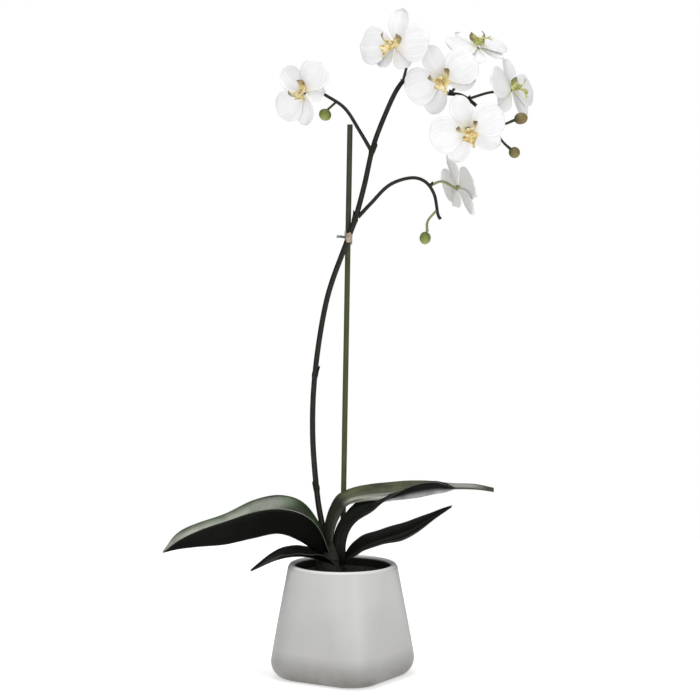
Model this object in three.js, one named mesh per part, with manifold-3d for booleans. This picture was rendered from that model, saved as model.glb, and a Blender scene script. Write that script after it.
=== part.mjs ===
// Potted moth orchid: ceramic pot, potting mix, crown with five leaves, stake, tie,
// a branched flower spike with four buds and seven open flowers.
// Units are millimetres, +Z is up, the origin is the centre of the pot's flat base.
import * as THREE from "three";
import { mergeVertices } from "three/addons/utils/BufferGeometryUtils.js";
import Module from "manifold-3d";

const wasm = await Module();
wasm.setup();

// Gap left between two pieces that touch, and the room cut for a curved neighbour.
const GAP = 0.35;
const CUT_GAP = 0.6;

// Pot: a round mouth that blends into a rounded-square foot.
const POT_HEIGHT = 127;
const POT_RIM_RADIUS = 60;
const POT_FOOT_HALF_SIDE = 67;
const POT_FOOT_CORNER_SHARE = 0.5;
const POT_FOOT_EDGE = 20;
const POT_FOOT_INSET = 15;
const POT_WALL = 7.5;
const POT_FLOOR = 9;
const POT_TAPER_POWER = 1.32;
const POT_TURN_DEGREES = -32;
const POT_SIDES = 28;
const RIM_RADIUS_STEPS = 5;
// The inside of the foot is rounded a little more tightly than the outside.
const INSIDE_EDGE = POT_FOOT_EDGE - 4;
const INSIDE_INSET = POT_FOOT_INSET - 3;

// Potting mix: fills the pot to a little below the rim.
const MIX_TOP = 119;
const MIX_DOME = 3;
const MIX_RING_SHARES = [0.75, 0.45];

// Stake: a straight round cane pushed into the mix.
const STAKE_RADIUS = 3;
const STAKE_SIDES = 14;
const STAKE_FOOT = new THREE.Vector3(-2, 19, 40);
const STAKE_TOP = new THREE.Vector3(8, 1, 611.5);

// Tie: a soft band round the stake and the spike, with a twisted end on its left.
const TIE_Z = 488;
const TIE_HEIGHT = 15;
const TIE_BAND = 2;
const TIE_SIDES = 20;
const TIE_EDGE_HEIGHT = 3;
const TIE_EDGE_INSET = 0.8;
const TIE_STEM = new THREE.Vector3(6, -3, TIE_Z);
const TIE_TWIST = [
  [2, -6, TIE_Z, 1.4],
  [-2, -7, TIE_Z + 1, 1.3],
  [-7, -7, TIE_Z + 1, 1],
];

// Crown: the short stem of the plant, standing in the mix.
const CROWN_SIDES = 12;
const CROWN = [
  { z: 97, x: -13, y: 0, rx: 14, ry: 10 },
  { z: 108, x: -14, y: 0, rx: 17, ry: 12 },
  { z: 120, x: -14, y: 0, rx: 17, ry: 12 },
  { z: 132, x: -13, y: 0, rx: 15, ry: 10.5 },
  { z: 143, x: -11, y: 0, rx: 11, ry: 8.5 },
  { z: 151, x: -9.5, y: -1, rx: 6, ry: 5.5 },
];

// Leaves: every row is one cross-section from base to tip, as the midrib point,
// the far edge and the near edge.
const LEAF_THICKNESS = 1.6;
const LEAF_ROUNDING = 0.3;
const LEAF_ROWS_PER_SECTION = 1.5;
const LEAF_COLUMNS = 4;
const LEAF_SPREAD = 1.04;
const LEAVES = {
  leaf_left_large: [
    [[-10, -2, 118], [-9, 9, 134], [-10, -10, 128]],
    [[-29, -3, 128], [-22, 11, 163], [-24, -14, 164]],
    [[-50, -5, 139], [-42, 18, 190], [-42, -22, 184]],
    [[-72, -6, 147], [-68, 22, 199], [-68, -28, 191]],
    [[-100, -10, 142], [-98, 20, 194], [-98, -31, 188]],
    [[-130, -13, 138], [-130, 15, 180], [-130, -32, 178]],
    [[-160, -15, 139], [-160, 10, 170], [-158, -30, 168]],
    [[-182, -17, 140], [-183, 1, 160], [-181, -25, 156]],
    [[-197, -18, 141], [-198, -15, 143], [-198, -21, 142]],
  ],
  leaf_left_small: [
    [[-11, -6, 120], [-9, 2, 127], [-8, -11, 126]],
    [[-25, -8, 128], [-24, 2, 141], [-22, -18, 138]],
    [[-44, -11, 133], [-43, 1, 146], [-43, -24, 141]],
    [[-60, -16, 133], [-59, -4, 147], [-60, -29, 141]],
    [[-74, -22, 131], [-74, -12, 143], [-74, -33, 138]],
    [[-88, -27, 127], [-88, -20, 134], [-88, -34, 131]],
    [[-101, -30, 122], [-101, -28, 124], [-101, -32, 123]],
  ],
  leaf_right_long: [
    [[-17, 3, 126], [-24, 5, 133], [-10, 0, 131]],
    [[-17, 3, 150], [-23, 5, 155], [-11, 0, 151]],
    [[-14, 2, 168], [-20, 5, 171], [-8, -1, 167]],
    [[-9, 1, 183], [-15, 6, 187], [-2, -4, 181]],
    [[-1, 0, 194], [-6, 8, 201], [4, -10, 191]],
    [[12, 0, 200], [10, 16, 208], [14, -15, 196]],
    [[32, 0, 203], [30, 18, 212], [32, -18, 199]],
    [[54, 0, 205], [53, 18, 214], [54, -18, 200]],
    [[76, 2, 207], [75, 16, 216], [76, -14, 203]],
    [[98, 5, 209], [97, 14, 216], [98, -6, 207]],
    [[121, 6, 210], [121, 12, 213], [121, 0, 208]],
    [[146, 7, 209], [146, 11, 212], [146, 3, 207]],
    [[167, 7, 206], [167, 10, 208], [167, 4, 204]],
  ],
  leaf_right_middle: [
    [[-3, -8, 124], [-9, -4, 131], [4, -10, 128]],
    [[-4, -9, 148], [-11, -4, 152], [3, -12, 148]],
    [[0, -11, 164], [-7, -4, 169], [7, -14, 164]],
    [[10, -14, 178], [3, -5, 184], [16, -19, 177]],
    [[25, -18, 190], [18, -6, 198], [32, -27, 189]],
    [[43, -22, 197], [44, -7, 204], [44, -36, 202]],
    [[63, -22, 198], [64, -8, 209], [61, -36, 212]],
    [[81, -22, 198], [82, -10, 216], [80, -34, 220]],
    [[101, -20, 202], [99, -12, 220], [99, -30, 222]],
    [[114, -18, 206], [113, -14, 218], [112, -24, 218]],
    [[122, -16, 211], [124, -14, 213], [123, -18, 213]],
  ],
  leaf_right_low: [
    [[-2, -8, 127], [1, -1, 136], [0, -13, 130]],
    [[13, -9, 137], [10, 5, 149], [11, -19, 138]],
    [[24, -11, 145], [21, 8, 157], [23, -23, 145]],
    [[43, -12, 153], [41, 8, 164], [42, -26, 153]],
    [[63, -14, 160], [63, 6, 171], [63, -28, 157]],
    [[82, -15, 169], [84, 0, 179], [80, -26, 166]],
    [[103, -18, 183], [104, -10, 188], [102, -24, 181]],
    [[119, -20, 193], [120, -18, 194], [119, -21, 192]],
  ],
};

// Flower spike: centre line points with the stem radius at each.
const SPIKE_SIDES = 7;
const STALK_SIDES = 5;
const SPIKE = [
  [-17, 10, 139, 3.4],
  [-21, 13, 160, 3.4],
  [-28, 16, 200, 3.2],
  [-33, 12, 270, 3.1],
  [-30, 8, 340, 3],
  [-17, 2, 420, 3],
  [4, -3, 481, 3],
  [14, -3, 508, 3],
  [24, -3, 545, 2.9],
  [33, -3, 585, 2.8],
  [45, -3, 618, 2.7],
  [60, 0, 650, 2.6],
  [74, 4, 664, 2.4],
  [92, 6, 664, 2.3],
  [110, 5, 647, 2.2],
  [130, 4, 643, 2.1],
  [146, 3, 632, 2],
  [160, 0, 615, 1.8],
];
const SPIKE_RINGS = 28;
const SIDE_STEMS = {
  left_branch: [
    [32, -3, 583, 2.2],
    [19, -6, 605, 2],
    [3, -10, 629, 1.9],
    [-21, -16, 645, 1.7],
  ],
  right_branch: [
    [15, -3, 510, 2.2],
    [29, -5, 525, 2.1],
    [49, -7, 545, 2],
    [72, -9, 553, 1.9],
    [88, -10, 549, 1.9],
    [98, -10, 535, 1.8],
    [102, -10, 514, 1.7],
    [105, -10, 508, 1.9],
  ],
};
const SIDE_RINGS_PER_POINT = 2;

// Buds: start of the stalk on its stem, a point between, the bud's middle, the bud's radii.
const BUD_STALK_RADIUS = 1.3;
const BUDS = {
  bud_left: {
    stem: "left_branch",
    from: [-5, -11, 636],
    by: [-14, -14, 628],
    at: [-19, -15, 622],
    radius: [7, 6.4, 6.4],
  },
  bud_low: {
    stem: "right_branch",
    from: [101, -10, 518],
    by: [91, -12, 506],
    at: [90, -13, 488],
    radius: [6.2, 6.2, 7],
  },
  bud_right_upper: {
    stem: "flower_spike",
    from: [155, 0, 619],
    by: [174, -4, 612],
    at: [194, -8, 618],
    radius: [6.5, 6.5, 7.5],
  },
  bud_right_lower: {
    stem: "flower_spike",
    from: [159, 0, 616],
    by: [174, -4, 594],
    at: [187, -9, 581],
    radius: [6.2, 6.2, 6.2],
  },
};

// Flowers: centre, yaw (positive turns the face to the right), pitch (positive lifts it),
// roll (positive leans the top to the right), size, the stem its stalk grows on, where the
// stalk leaves that stem, a point it passes, and what differs in a tepal of this flower.
const FLOWERS = {
  flower_1: {
    at: [-42, -27, 646],
    yaw: -28,
    pitch: 4,
    roll: -48,
    size: 0.88,
    stem: "left_branch",
    from: [-21, -16, 645],
    by: [-29, -20, 646],
    changes: { sepal_top: { length: 40, width: 31 }, sepal_right: { length: 25 } },
  },
  flower_2: {
    at: [56, -22, 697],
    yaw: -34,
    pitch: 10,
    roll: 4,
    size: 1.02,
    stem: "flower_spike",
    from: [66, 2, 657],
    by: [72, 4, 688],
    changes: { petal_left: { angle: -94 }, sepal_left: { length: 27 }, sepal_right: { length: 27 } },
  },
  flower_3: {
    at: [108, -28, 660],
    yaw: -10,
    pitch: -4,
    roll: -25,
    size: 0.98,
    stem: "flower_spike",
    from: [86, 6, 665],
    by: [102, 0, 664],
    changes: { sepal_right: { angle: 116, length: 34 } },
  },
  flower_4: {
    at: [148, 12, 696],
    yaw: 32,
    pitch: 58,
    roll: -8,
    size: 0.9,
    stem: "flower_spike",
    from: [118, 5, 645],
    by: [137, 28, 668],
    changes: { sepal_right: { length: 31 } },
  },
  flower_5: {
    at: [185, 4, 650],
    yaw: 52,
    pitch: 16,
    roll: 10,
    size: 0.88,
    stem: "flower_spike",
    from: [137, 3, 639],
    by: [160, 10, 646],
  },
  flower_6: {
    at: [135, -36, 606],
    yaw: 2,
    pitch: -10,
    roll: -20,
    size: 0.97,
    stem: "flower_spike",
    from: [147, 3, 631],
    by: [144, 0, 616],
  },
  flower_7: {
    at: [127, 6, 543],
    yaw: 114,
    pitch: 14,
    roll: 4,
    size: 0.9,
    stem: "right_branch",
    from: [94, -10, 545],
    by: [107, -6, 549],
    changes: { sepal_right: { length: 27 }, sepal_left: { length: 43 } },
  },
};
const PEDICEL_RADIUS = 1.5;
const PEDICEL_BEND = 6;
const PEDICEL_RINGS = 7;
const RECEPTACLE_RADIUS = 3.2;
const BUD_STALK_RINGS = 4;

// Tepals of a flower: angle from straight up, length, width, widest share of the length,
// width share at the base, forward rise, forward curl, cupping, height of the base plane.
const TEPAL_START = 2.6;
const TEPAL_THICKNESS = 1;
const TEPAL_TIP_SHARE = 0.14;
const SEPAL_PLANE = -1.2;
const PETAL_PLANE = SEPAL_PLANE + TEPAL_THICKNESS + 0.7;
const SEPAL = { length: 38, width: 25, widest: 0.56, base: 0.15, rise: -0.06, curl: -0.04, cup: 2.2 };
const PETAL = { length: 41, width: 42, widest: 0.56, base: 0.2, rise: 0.1, curl: -0.08, cup: -1.5 };
const TEPALS = {
  sepal_top: { ...SEPAL, angle: 0, plane: SEPAL_PLANE },
  sepal_left: { ...SEPAL, angle: -136, plane: SEPAL_PLANE },
  sepal_right: { ...SEPAL, angle: 136, plane: SEPAL_PLANE },
  petal_left: { ...PETAL, angle: -82, plane: PETAL_PLANE },
  petal_right: { ...PETAL, angle: 82, plane: PETAL_PLANE },
};
const TEPAL_SPREAD = 1.08;
const TEPAL_ROWS = 5;
const SEPAL_COLUMNS = 3;
const PETAL_COLUMNS = 4;

// Lip and column, one grown piece in the middle of each flower.
const COLUMN_RADIUS = 2.7;
const COLUMN_LENGTH = 9;
const COLUMN_SIDES = 6;
// Column sections: share of the length, height, share of the radius.
const COLUMN_SECTIONS = [
  [0, 0, 0.9],
  [0.5, 1.2, 0.8],
  [0.85, 0.8, 1],
  [1, 0, 0.6],
];
const LIP_PLANE = PETAL_PLANE + TEPAL_THICKNESS / 2 + CUT_GAP;
const LIP_LENGTH = 15;
const LIP_WIDTH = 16;
const LIP_DROP = 16;
const LIP_THICKNESS = 1.1;
const WING_LENGTH = 14;
const WING_WIDTH = 11;
const WING_START = 4;

const POT_COLOUR = 0xc9c9c6;
const MIX_COLOUR = 0x2a2622;
const CROWN_COLOUR = 0x2b3122;
const LEAF_COLOUR = 0x33452b;
const STEM_COLOUR = 0x343a28;
const STAKE_COLOUR = 0x4a5333;
const TIE_COLOUR = 0xcdb6a2;
const BUD_COLOURS = {
  bud_left: 0x8d9a3c,
  bud_low: 0x7f8c3e,
  bud_right_upper: 0x7d6b35,
  bud_right_lower: 0x7d6b35,
};
const TEPAL_COLOUR = 0xf2f2f4;
const LIP_COLOUR = 0xd8a94f;

const UP = new THREE.Vector3(0, 0, 1);

function vec(p) {
  return new THREE.Vector3(p[0], p[1], p[2]);
}

// A closed solid as a manifold, from vertices and triangles.
function solidOf(positions, triangles) {
  const mesh = new wasm.Mesh({
    numProp: 3,
    vertProperties: new Float32Array(positions),
    triVerts: new Uint32Array(triangles),
  });
  return new wasm.Manifold(mesh);
}

// A three.js geometry as a manifold.
function solidOfGeometry(geometry) {
  const bare = new THREE.BufferGeometry();
  bare.setAttribute("position", geometry.getAttribute("position"));
  if (geometry.index) bare.setIndex(geometry.index);
  const merged = mergeVertices(bare, 1e-3);
  return solidOf(merged.attributes.position.array, merged.index.array);
}

function geometryOfSolid(solid) {
  const data = solid.getMesh();
  const geometry = new THREE.BufferGeometry();
  const positions = new Float32Array(data.numVert * 3);
  for (let i = 0; i < data.numVert; i++) {
    positions.set(data.vertProperties.subarray(i * data.numProp, i * data.numProp + 3), i * 3);
  }
  geometry.setAttribute("position", new THREE.BufferAttribute(positions, 3));
  geometry.setIndex(new THREE.BufferAttribute(data.triVerts, 1));
  geometry.computeVertexNormals();
  return geometry;
}

// The largest of the separate bodies a cut leaves.
function largest(solid) {
  let best = null;
  for (const body of solid.decompose()) {
    if (!best || body.volume() > best.volume()) best = body;
  }
  return best;
}

function meshOf(name, solid, colour, roughness) {
  const material = new THREE.MeshStandardMaterial({ color: colour, roughness, metalness: 0 });
  const mesh = new THREE.Mesh(geometryOfSolid(solid), material);
  mesh.name = name;
  return mesh;
}

// Joins closed rings of points into one solid; the ends are closed with a fan to the
// middle of the ring, or with a strip when the ring is the outline of a thin sheet.
function loft(rings, sheetEnds) {
  const count = rings[0].length;
  const positions = [];
  const triangles = [];
  for (const ring of rings) {
    for (const p of ring) positions.push(p.x, p.y, p.z);
  }
  for (let i = 0; i + 1 < rings.length; i++) {
    for (let j = 0; j < count; j++) {
      const a = i * count + j;
      const b = i * count + ((j + 1) % count);
      const c = a + count;
      const d = b + count;
      triangles.push(a, b, d, a, d, c);
    }
  }
  const last = (rings.length - 1) * count;
  if (sheetEnds) {
    for (let j = 0; j + 1 < count / 2; j++) {
      const k = count - 1 - j;
      triangles.push(j, k, j + 1, j + 1, k, k - 1);
      triangles.push(last + j, last + j + 1, last + k, last + j + 1, last + k - 1, last + k);
    }
  } else {
    for (const [start, outward] of [[0, false], [last, true]]) {
      const middle = new THREE.Vector3();
      for (let j = 0; j < count; j++) {
        middle.add(new THREE.Vector3().fromArray(positions, (start + j) * 3));
      }
      middle.divideScalar(count);
      const centre = positions.length / 3;
      positions.push(middle.x, middle.y, middle.z);
      for (let j = 0; j < count; j++) {
        const a = start + j;
        const b = start + ((j + 1) % count);
        if (outward) triangles.push(a, b, centre);
        else triangles.push(b, a, centre);
      }
    }
  }
  if (volumeOf(positions, triangles) < 0) {
    for (let i = 0; i < triangles.length; i += 3) {
      [triangles[i + 1], triangles[i + 2]] = [triangles[i + 2], triangles[i + 1]];
    }
  }
  return solidOf(positions, triangles);
}

function volumeOf(positions, triangles) {
  let total = 0;
  const corner = (i) => new THREE.Vector3().fromArray(positions, triangles[i] * 3);
  for (let i = 0; i < triangles.length; i += 3) {
    total += corner(i).dot(corner(i + 1).cross(corner(i + 2)));
  }
  return total / 6;
}

// A thin sheet solid: surface(u, v) gives its middle, half the thickness goes each way;
// spread above 1 carries it a little past its side edges, reach a little past its base.
function sheetSolid(surface, thickness, rows, columns, spread = 1, reach = 0) {
  const step = 1e-3;
  const rings = [];
  for (let i = 0; i <= rows; i++) {
    const u = i / rows;
    const over = [];
    const under = [];
    for (let j = 0; j <= columns; j++) {
      const v = spread * (-1 + (2 * j) / columns);
      const p = surface(u, v);
      const u0 = Math.max(u - step, 0);
      const u1 = Math.min(u + step, 1);
      const along = surface(u1, v).sub(surface(u0, v));
      const across = surface(u, v + step).sub(surface(u, v - step));
      if (i === 0) p.addScaledVector(along.clone().normalize(), -reach);
      const normal = across.cross(along).normalize();
      over.push(p.clone().addScaledVector(normal, thickness / 2));
      under.push(p.clone().addScaledVector(normal, -thickness / 2));
    }
    rings.push([...over, ...under.reverse()]);
  }
  return loft(rings, true);
}

// Smooth curve through points that each carry a radius, as rings of a round stem.
function stemSolid(points, ringCount, extra, sides = SPIKE_SIDES) {
  const curve = new THREE.CatmullRomCurve3(points.map(vec), false, "centripetal");
  const rings = [];
  let side = null;
  for (let i = 0; i <= ringCount; i++) {
    const t = i / ringCount;
    const place = t * (points.length - 1);
    const k = Math.min(Math.floor(place), points.length - 2);
    const share = place - k;
    const radius = points[k][3] * (1 - share) + points[k + 1][3] * share + extra;
    const centre = curve.getPoint(t);
    const along = curve.getTangent(t);
    if (!side) side = Math.abs(along.z) < 0.9 ? UP.clone() : new THREE.Vector3(1, 0, 0);
    side.addScaledVector(along, -side.dot(along)).normalize();
    const other = along.clone().cross(side);
    const ring = [];
    for (let j = 0; j < sides; j++) {
      const a = (2 * Math.PI * j) / sides;
      ring.push(
        centre
          .clone()
          .addScaledVector(side, radius * Math.cos(a))
          .addScaledVector(other, radius * Math.sin(a)),
      );
    }
    rings.push(ring);
  }
  return loft(rings, false);
}

// One ring of a rounded square with its corner radius as a share of the half side.
function roundedSquareRing(halfSide, cornerShare, z) {
  const corner = halfSide * cornerShare;
  const straight = halfSide - corner;
  const ring = [];
  for (let j = 0; j < POT_SIDES; j++) {
    const quarter = Math.floor((4 * j) / POT_SIDES);
    const a = (2 * Math.PI * (j + 0.5)) / POT_SIDES;
    const middle = (quarter + 0.5) * (Math.PI / 2);
    ring.push(
      new THREE.Vector3(
        Math.SQRT2 * straight * Math.cos(middle) + corner * Math.cos(a),
        Math.SQRT2 * straight * Math.sin(middle) + corner * Math.sin(a),
        z,
      ),
    );
  }
  return ring;
}

// Half side and corner share of the pot's outside at a height.
function potSection(z) {
  const s = Math.max(0, (z - POT_FOOT_EDGE) / (POT_HEIGHT - POT_FOOT_EDGE));
  const drawnIn = (POT_FOOT_HALF_SIDE - POT_RIM_RADIUS) * Math.pow(s, POT_TAPER_POWER);
  const halfSide = POT_FOOT_HALF_SIDE - drawnIn;
  const share = POT_FOOT_CORNER_SHARE + (1 - POT_FOOT_CORNER_SHARE) * Math.min(1, s);
  return { halfSide, share };
}

// Rounded foot: how far the wall is drawn in at a height below the foot edge.
function footInset(z, edge, inset) {
  if (z >= edge) return 0;
  const t = 1 - z / edge;
  return inset * (1 - Math.sqrt(Math.max(0, 1 - t * t)));
}

function potRings(offset, floor, top, edge, inset, footSteps = 4, wallSteps = 5) {
  const rings = [];
  for (let i = 0; i <= footSteps; i++) {
    const z = edge * (1 - Math.cos((Math.PI / 2) * (i / footSteps)));
    const { halfSide, share } = potSection(floor + z);
    rings.push(roundedSquareRing(halfSide - offset - footInset(z, edge, inset), share, floor + z));
  }
  for (let i = 1; i <= wallSteps; i++) {
    const z = floor + edge + ((top - floor - edge) * i) / wallSteps;
    const { halfSide, share } = potSection(z);
    rings.push(roundedSquareRing(halfSide - offset, share, z));
  }
  return rings;
}

function makePot() {
  const rimRadius = POT_WALL / 2;
  const wallTop = POT_HEIGHT - rimRadius;
  const outer = potRings(0, 0, wallTop, POT_FOOT_EDGE, POT_FOOT_INSET);
  const inner = potRings(POT_WALL, POT_FLOOR, wallTop, INSIDE_EDGE, INSIDE_INSET);
  const rings = [...outer];
  const { halfSide } = potSection(wallTop);
  for (let i = 1; i < RIM_RADIUS_STEPS; i++) {
    const a = (Math.PI * i) / RIM_RADIUS_STEPS;
    const radius = halfSide - rimRadius + rimRadius * Math.cos(a);
    rings.push(roundedSquareRing(radius, 1, wallTop + rimRadius * Math.sin(a)));
  }
  rings.push(...inner.reverse());
  return loft(rings, false).rotate([0, 0, POT_TURN_DEGREES]);
}

function makeMix(clearances) {
  const top = MIX_TOP - MIX_DOME;
  const offset = POT_WALL + GAP;
  const rings = potRings(offset, POT_FLOOR + GAP, top, INSIDE_EDGE, INSIDE_INSET + GAP, 3, 2);
  const { halfSide, share } = potSection(top);
  for (const radiusShare of MIX_RING_SHARES) {
    const z = top + MIX_DOME * (1 - radiusShare * radiusShare);
    rings.push(roundedSquareRing((halfSide - offset) * radiusShare, share, z));
  }
  let mix = loft(rings, false).rotate([0, 0, POT_TURN_DEGREES]);
  for (const clearance of clearances) mix = mix.subtract(clearance);
  return largest(mix);
}

function crownSolid(extra) {
  const rings = CROWN.map(({ z, x, y, rx, ry }) => {
    const ring = [];
    for (let j = 0; j < CROWN_SIDES; j++) {
      const a = (2 * Math.PI * j) / CROWN_SIDES;
      ring.push(new THREE.Vector3(x + (rx + extra) * Math.cos(a), y + (ry + extra) * Math.sin(a), z));
    }
    return ring;
  });
  for (const p of rings[0]) p.z -= extra;
  for (const p of rings[rings.length - 1]) p.z += extra;
  return loft(rings, false);
}

function stakeSolid(extra) {
  const axis = STAKE_TOP.clone().sub(STAKE_FOOT);
  const length = axis.length() + 2 * extra;
  const radius = STAKE_RADIUS + extra;
  const geometry = new THREE.CylinderGeometry(radius, radius, length, STAKE_SIDES);
  const cylinderAxis = new THREE.Vector3(0, 1, 0);
  geometry.applyQuaternion(new THREE.Quaternion().setFromUnitVectors(cylinderAxis, axis.clone().normalize()));
  const middle = STAKE_FOOT.clone().add(STAKE_TOP).multiplyScalar(0.5);
  geometry.translate(middle.x, middle.y, middle.z);
  return solidOfGeometry(geometry);
}

// Leaf surface: smooth curves through the midrib, far edge and near edge points, joined
// across by a V with a rounded fold.
function leafSolid(sections, extra) {
  const rails = [0, 1, 2].map(
    (k) => new THREE.CatmullRomCurve3(sections.map((s) => vec(s[k])), false, "catmullrom", 0.5),
  );
  const side = (v) => (v + Math.sqrt(v * v + LEAF_ROUNDING * LEAF_ROUNDING)) / 2;
  const full = side(1);
  const surface = (u, v) => {
    const midrib = rails[0].getPoint(u);
    const far = rails[1].getPoint(u).sub(midrib);
    const near = rails[2].getPoint(u).sub(midrib);
    return midrib.addScaledVector(far, side(v) / full).addScaledVector(near, side(-v) / full);
  };
  const rows = Math.round((sections.length - 1) * LEAF_ROWS_PER_SECTION);
  return sheetSolid(surface, LEAF_THICKNESS + 2 * extra, rows, LEAF_COLUMNS, extra ? LEAF_SPREAD : 1, extra);
}

// Widest at one share of the length, narrow at the base, rounded at the tip.
function tepalWidth(t, shape) {
  if (t < shape.widest) {
    const rise = Math.sin((Math.PI / 2) * (t / shape.widest));
    return shape.base + (1 - shape.base) * Math.pow(rise, 1.2);
  }
  const beyond = (t - shape.widest) / (1 - shape.widest);
  return Math.max(TEPAL_TIP_SHARE, Math.sqrt(Math.max(0, 1 - Math.pow(beyond, 2.4))));
}

// Tepal in the flower's own frame, which faces -Y with its top at +Z.
function tepalSolid(shape, size, extra, columns) {
  const angle = THREE.MathUtils.degToRad(shape.angle);
  const outward = new THREE.Vector3(Math.sin(angle), 0, Math.cos(angle));
  const sideways = new THREE.Vector3(Math.cos(angle), 0, -Math.sin(angle));
  const forward = new THREE.Vector3(0, -1, 0);
  const length = shape.length * size;
  const surface = (u, v) => {
    const t = Math.sin((Math.PI / 2) * u);
    const width = (tepalWidth(t, shape) * shape.width * size) / 2;
    const open = Math.min(1, t * 2);
    const lift = length * (shape.rise * t + shape.curl * t * t) + shape.cup * v * v * open;
    return outward
      .clone()
      .multiplyScalar(TEPAL_START + length * t)
      .addScaledVector(sideways, width * v)
      .addScaledVector(forward, shape.plane + lift);
  };
  const thickness = TEPAL_THICKNESS + 2 * extra;
  return sheetSolid(surface, thickness, TEPAL_ROWS, columns, extra ? TEPAL_SPREAD : 1, extra);
}

// Column with the lip below it and a wing each side, in the flower's own frame.
function lipSolid(size) {
  const forward = -LIP_PLANE;
  const columnRings = COLUMN_SECTIONS.map(([share, z, radiusShare]) => {
    const points = [];
    for (let j = 0; j < COLUMN_SIDES; j++) {
      const a = (2 * Math.PI * j) / COLUMN_SIDES;
      const radius = COLUMN_RADIUS * radiusShare;
      const y = forward - COLUMN_LENGTH * share;
      points.push(new THREE.Vector3(radius * Math.cos(a), y, z + radius * Math.sin(a)));
    }
    return points;
  });
  const column = loft(columnRings, false);
  const middleLobe = (u, v) => {
    const width = (LIP_WIDTH / 2) * (0.28 + 0.72 * Math.sin(Math.PI * Math.min(1, 0.15 + 0.8 * u)));
    return new THREE.Vector3(
      width * v,
      forward - 0.8 - LIP_LENGTH * Math.sin((Math.PI / 2) * u),
      -1.2 - LIP_DROP * u * u + 1.4 * v * v,
    );
  };
  const wing = (turn) => (u, v) => {
    const width = (WING_WIDTH / 2) * (0.4 + 0.6 * Math.sin(Math.PI * (0.1 + 0.75 * u)));
    return new THREE.Vector3(
      turn * (1.2 + WING_LENGTH * 0.8 * u),
      forward - WING_START - WING_LENGTH * 0.35 * u - width * v * 0.8,
      -1 + WING_LENGTH * 0.65 * u * u + width * v * 0.5,
    );
  };
  const whole = column
    .add(sheetSolid(middleLobe, LIP_THICKNESS, 4, 2))
    .add(sheetSolid(wing(1), LIP_THICKNESS, 2, 1))
    .add(sheetSolid(wing(-1), LIP_THICKNESS, 2, 1));
  return whole.scale([size, 1, size]);
}

// Turn of a flower from its own frame to its place on the spike.
function flowerTurn(flower) {
  return new THREE.Euler(
    THREE.MathUtils.degToRad(-flower.pitch),
    THREE.MathUtils.degToRad(flower.roll),
    THREE.MathUtils.degToRad(flower.yaw),
    "ZXY",
  );
}

// A point behind a flower's centre, on its axis.
function behindFlower(flower, distance) {
  return new THREE.Vector3(0, distance, 0).applyEuler(flowerTurn(flower)).add(vec(flower.at));
}

// Stalk from a stem to a bud, ending just short of it.
function budStalk(bud) {
  const inward = vec(bud.by).sub(vec(bud.at)).normalize();
  const end = vec(bud.at).addScaledVector(inward, bud.radius[2] + GAP);
  const points = [bud.from, bud.by, end.toArray()].map((p) => [...p, BUD_STALK_RADIUS]);
  return stemSolid(points, BUD_STALK_RINGS, 0, STALK_SIDES);
}

// Stalk from a stem to the back of a flower, widening where the tepals meet.
function flowerStalk(flower) {
  const seat = -SEPAL_PLANE + TEPAL_THICKNESS / 2 + GAP;
  const points = [
    [...flower.from, PEDICEL_RADIUS],
    [...flower.by, PEDICEL_RADIUS],
    [...behindFlower(flower, seat + PEDICEL_BEND).toArray(), PEDICEL_RADIUS],
    [...behindFlower(flower, seat).toArray(), RECEPTACLE_RADIUS],
  ];
  return stemSolid(points, PEDICEL_RINGS, 0, STALK_SIDES);
}

// A stem with the stalks that grow on it.
function withStalks(name, stem) {
  let whole = stem;
  for (const bud of Object.values(BUDS)) {
    if (bud.stem === name) whole = whole.add(budStalk(bud));
  }
  for (const flower of Object.values(FLOWERS)) {
    if (flower.stem === name) whole = whole.add(flowerStalk(flower));
  }
  return whole;
}

function makeSideStem(name, spikeClearance) {
  const points = SIDE_STEMS[name];
  const stem = stemSolid(points, (points.length - 1) * SIDE_RINGS_PER_POINT, 0);
  return largest(withStalks(name, stem).subtract(spikeClearance));
}

function makeTie(spike) {
  const share = (TIE_Z - STAKE_FOOT.z) / (STAKE_TOP.z - STAKE_FOOT.z);
  const stake = STAKE_FOOT.clone().lerp(STAKE_TOP, share);
  const radius = STAKE_RADIUS + TIE_BAND;
  const ring = (z, inset) => {
    const points = [];
    for (let j = 0; j < TIE_SIDES; j++) {
      const a = (2 * Math.PI * (j + 0.5)) / TIE_SIDES;
      const { x, y } = Math.sin(a) > 0 ? stake : TIE_STEM;
      const reach = radius - inset;
      points.push(new THREE.Vector3(x + reach * Math.cos(a), y + reach * Math.sin(a), z));
    }
    return points;
  };
  const low = TIE_Z - TIE_HEIGHT / 2;
  const high = TIE_Z + TIE_HEIGHT / 2;
  const band = loft(
    [
      ring(low, TIE_EDGE_INSET),
      ring(low + TIE_EDGE_HEIGHT, 0),
      ring(high - TIE_EDGE_HEIGHT, 0),
      ring(high, TIE_EDGE_INSET),
    ],
    false,
  );
  const twist = stemSolid(TIE_TWIST, 4, 0);
  return largest(band.add(twist).subtract(spike).subtract(stakeSolid(GAP)));
}

function makeBud(bud) {
  const geometry = new THREE.SphereGeometry(1, 10, 7);
  geometry.rotateX(Math.PI / 2);
  geometry.scale(...bud.radius);
  const axis = vec(bud.at).sub(vec(bud.by)).normalize();
  geometry.applyQuaternion(new THREE.Quaternion().setFromUnitVectors(UP, axis));
  geometry.translate(...bud.at);
  return solidOfGeometry(geometry);
}

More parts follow.
